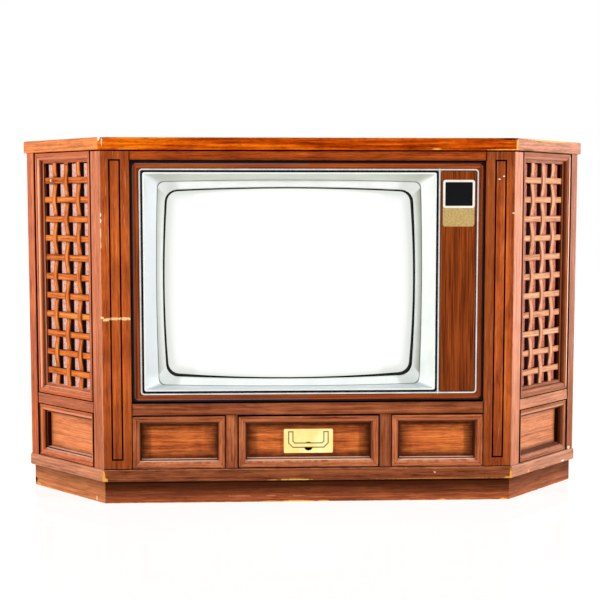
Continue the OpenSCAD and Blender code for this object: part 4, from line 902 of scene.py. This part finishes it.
# printed panels: the column's grain runs upright, the border's follows its four sides. Their
# lines are drawn 2 mm apart or more, coarser than real ones, so that they show
trimWide, trimCorner, columnEdge = 4.0, 8.0, 272.5
trimJoint = frontSpans("silver_trim")
columnJoint = [(columnEdge, trimJoint[0][1] - trimWide),
               (trimJoint[1][0] + trimWide, trimJoint[1][1] - trimWide)]
columnPrint = {"line": 2.0, "joint": columnJoint, "dark": "#431602", "mid": "#843a12",
               "light": "#ac521c"}
borderPrint = {"line": 2.4, "joint": trimJoint, "dark": "#661f04", "mid": "#9c4214",
               "light": "#c2561a"}
dress(printedGrain("columnPlasticPrinted", columnPrint, None), "control_panel")
dress(printedGrain("borderPlasticPrinted", borderPrint, frontSpans("picture_surround")),
      "picture_surround")


def pullShade(spot, colour, tarnish="#8a5c16"):
    # tarnish along the outline of the bail, and painted shade, black, in the finger notch
    low, high = boxMm("pull_bail")
    shape = []
    for wide, foot, bevel in ((41.5, 0.0, 9.0), (32.5, 9.0, 4.0)):  # the bail's two outlines
        side = add("SUBTRACT", [wide, spot.across])
        up = add("SUBTRACT", [spot.up, low.z + foot])
        cut = add("ADD", [side, up])
        cut = add("MULTIPLY_ADD", [cut, half, -bevel * half])
        shape.append(add("MINIMUM", [add("MINIMUM", [side, up]), cut]))
    shape[0] = add("MINIMUM", [shape[0], add("SUBTRACT", [high.z, spot.up])])
    shape[1] = add("MULTIPLY", [shape[1], -1.0])
    off = add("ABSOLUTE", [add("MINIMUM", shape)])
    colour = fade(colour, tarnish, off, 1.7, 0.8, 0.85)
    front = boxMm("pull_plate")[0].y
    below = add("MapRange", [spot.up, low.z + 1.5, low.z + 0.5])
    return fade(colour, "#0c0a08", spot.y, front + 1.0, front + 1.6, 1.0, below)


def trimEdgeShade(spot, colour, trimEdgeTone="#2a2928"):
    # painted shade along both edges of each strip, its middle left bright
    shrunk = [(low + trimCorner, high - trimCorner) for low, high in trimJoint]
    turns = [add("MINIMUM", [gap, 0.0]) for gap in frontGaps(spot, shrunk)]
    reach = add("VectorMath.LENGTH", [add("CombineXYZ", turns)])
    near = add("SUBTRACT", [trimCorner, reach.outputs["Value"]])
    core = band(near, 1.1, 2.9, 0.4)
    middle = apart(spot.x, columnEdge - trimWide / 2)
    core = darkest(core, add("MapRange", [middle, 1.3, 0.7]))
    return lay(colour, trimEdgeTone, add("MULTIPLY_ADD", [core, -0.7, 0.7]))


def brightMetal(name, look):
    # thin bright metal: fine lines one way and a slow change of tint
    material, shader, spot = newMaterial(name)
    flow = add("VectorMath.MULTIPLY", [spot.place, look["way"]])
    lines = add("TexNoise", {"Vector": flow, "Scale": 1 / look["line"], "Roughness": 0.6})
    colour = lay(look["dark"], look["light"], blotches(spot.place, look["patch"], (0.35, 0.65)))
    for shade in look.get("shades", ()):
        colour = shade(spot, colour)
    rough = add("MapRange", [lines, 0.3, 0.7, look["rough"], look["rough"] + 0.12])
    surface(shader, colour, rough, lines, 0.01, Metallic=1.0)
    return material


# hot-stamped foil: a thin silver line, bright in the middle, with painted shade along both edges
trimFoil = {"dark": "#d6d8d6", "light": "#eeefec", "patch": 30.0, "rough": 0.2, "line": 9.0,
            "way": (1, 1, 1), "shades": [trimEdgeShade]}
dress(brightMetal("trimFoilStamped", trimFoil), "silver_trim")
# the same foil in a warmer white, kept clean inside its frame
bezelFoil = {"dark": "#efe9dc", "light": "#fbf7ee", "patch": 30.0, "rough": 0.2, "line": 3.0,
             "way": (1, 1, 1)}
dress(brightMetal("bezelFoilStamped", bezelFoil), "display_bezel")
# brushed gold-toned aluminium: level hairlines and a faint speckle, no mirror
plateGold = {"dark": "#ac8f58", "light": "#c2a56d", "patch": 3.5, "rough": 0.34, "line": 1.0,
             "way": (0.06, 1, 1)}
dress(brightMetal("namePlateAluminiumBrushed", plateGold), "name_plate")
# polished brass: pale and hot where it faces the lamps, browned along the bail's outline
pullBrass = {"dark": "#f8e28e", "light": "#fff4b0", "patch": 30.0, "rough": 0.3, "line": 1.4,
             "way": (1, 1, 1), "shades": [pullShade]}
dress(brightMetal("pullBrassPolished", pullBrass), "pull_plate", "pull_bail")

# the picture tube's face, polished grey glass over pale phosphor: painted light, an even glow
# that it emits itself, with painted shade greener and darker towards the rim
screenLook = {"middle": "#9a9c9a", "edge": "#7c8079", "rim": 8.0, "tinted": 60.0,
              "glow": 0.86, "rimGlow": "#e2e6de", "middleGlow": "#fdfffd", "glowing": 40.0,
              "phosphor": 0.9}
material, shader, spot = newMaterial("tubeGlassPolished")
near = add("MINIMUM", frontGaps(spot, frontSpans("tube_faceplate")))
colour = fade(screenLook["edge"], screenLook["middle"], near, screenLook["rim"],
              screenLook["tinted"])
glow = fade(screenLook["rimGlow"], screenLook["middleGlow"], near, screenLook["rim"],
            screenLook["glowing"])
phosphor = add("TexNoise", {"Vector": spot.place, "Scale": 1 / screenLook["phosphor"]})
rough = add("MapRange", [phosphor, 0.3, 0.7, 0.06, 0.08])
surface(shader, colour, rough, phosphor, 0.003, Emission_Strength=screenLook["glow"],
        Emission_Color=glow)
dress(material, "tube_faceplate")
print("plastics, metals and glass dressed")

# speaker cloth: one woven piece a side, stretched over the front of each baffle; sizes in
# millimetres, tones are weft, warp and fleck
clothLook = {"thick": 0.5, "columns": 24, "rows": 70, "thread": 2.4, "slub": 3.5,
             "fleck": 3.4, "give": 1.0, "stripShadow": (3.2, 0.8), "gap": "#5a2a26",
             "stripShadowTone": "#080200", "left": ("#f2a692", "#ffe2ce", "#b45a74"),
             "right": ("#c8584c", "#ec9678", "#862a62")}


def wovenCloth(name, threads):
    # plain weave of thick and thin yarn: a rosy tweed with dark flecks and no shine. The threads
    # are drawn 2.4 mm apart, coarser than real ones, so that they show
    material, shader, spot = newMaterial(name)
    uv = add("TexCoord").outputs["UV"]
    thread = add("VectorMath.MULTIPLY", [uv, (1000,) * 3])
    waves = []
    for value in list(add("SeparateXYZ", [thread]).outputs)[:2]:
        turns = add("MULTIPLY", [value, 2 * math.pi / clothLook["thread"]])
        waves.append(add("SINE", [turns]))
    weave = add("MULTIPLY", waves)
    slub = add("VectorMath.MULTIPLY", [thread, (1.0, 0.35, 1.0)])
    slub = add("TexNoise", {"Vector": slub, "Scale": 1 / clothLook["slub"],
                            "Detail": 3.0, "Roughness": 0.7})
    colour = fade(*threads[:2], slub, 0.38, 0.62)
    fleck = blotches(thread, clothLook["fleck"], (0.53, 0.63, 0.0, 0.75), Roughness=0.8)
    colour = lay(colour, threads[2], fleck)
    colour = fade(colour, clothLook["gap"], weave, 1.0, -1.0, 0.14)
    # painted shadow of the strips: the cloth drawn nearly black straight behind them
    gaps = weaveGrid(spot)[1]
    stripShadow = [add("MapRange", [gap, edge, edge - 1.2, 0.0, 0.96])
            for gap, edge in zip(gaps, clothLook["stripShadow"])]
    colour = lay(colour, clothLook["stripShadowTone"], darkest(*stripShadow))
    rough = add("MapRange", [slub, 0.3, 0.7, 0.82, 0.95])
    surface(shader, colour, rough, weave, 0.25, Sheen_Weight=0.02, Specular_IOR_Level=0.05)
    return material


def grilleCloth(side):
    # a fine grid in the cloth's plane, which gives a little over the hole for the speaker
    low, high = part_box(side + "_speaker")
    coneHeight = (low.z + high.z) / 2
    coneReach = (high.z - low.z) / 2 - 10 * mm
    along, up, inward = faceWays["cant"]
    spans = [(low * mm, high * mm) for low, high in faceSpans(side + "_grille_cloth", "cant")]
    width, height = spans[0][1] - spans[0][0], spans[1][1] - spans[1][0]
    centre = (along * sum(spans[0]) + up * sum(spans[1])) / 2 + inward * sum(spans[2]) / 2
    bpy.ops.object.select_all(action="DESELECT")
    bpy.ops.mesh.primitive_grid_add(x_subdivisions=clothLook["columns"],
                                    y_subdivisions=clothLook["rows"], size=1)
    cloth = bpy.context.object
    cloth.name = side + "StretchedCloth"
    for corner in cloth.data.uv_layers.active.data:
        corner.uv = (corner.uv[0] * width, corner.uv[1] * height)
    sign = 1 if side == "right" else -1
    phase = random.Random(sign + 5).uniform(0, 6)
    for v in cloth.data.vertices:
        point = centre + along * v.co.x * width + up * v.co.y * height
        off = math.hypot(v.co.x * width, point.z - coneHeight) / coneReach
        free = max(0.0, 1 - off ** 2) * (0.8 + 0.2 * math.sin(90 * point.z + phase))
        point += inward * free * clothLook["give"] * mm
        v.co = (sign * point.x, point.y, point.z)
    if sign < 0:
        cloth.data.flip_normals()
    thick = cloth.modifiers.new("thickness", "SOLIDIFY")
    thick.thickness = clothLook["thick"] * mm
    thick.offset = 0
    bpy.ops.object.modifier_apply(modifier=thick.name)
    cloth.data.materials.append(wovenCloth(side + "ClothWoven", clothLook[side]))
    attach(cloth, "cabinet")
    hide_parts(side + "_grille_cloth")


for side in ("left", "right"):
    grilleCloth(side)
print("cloth stretched")
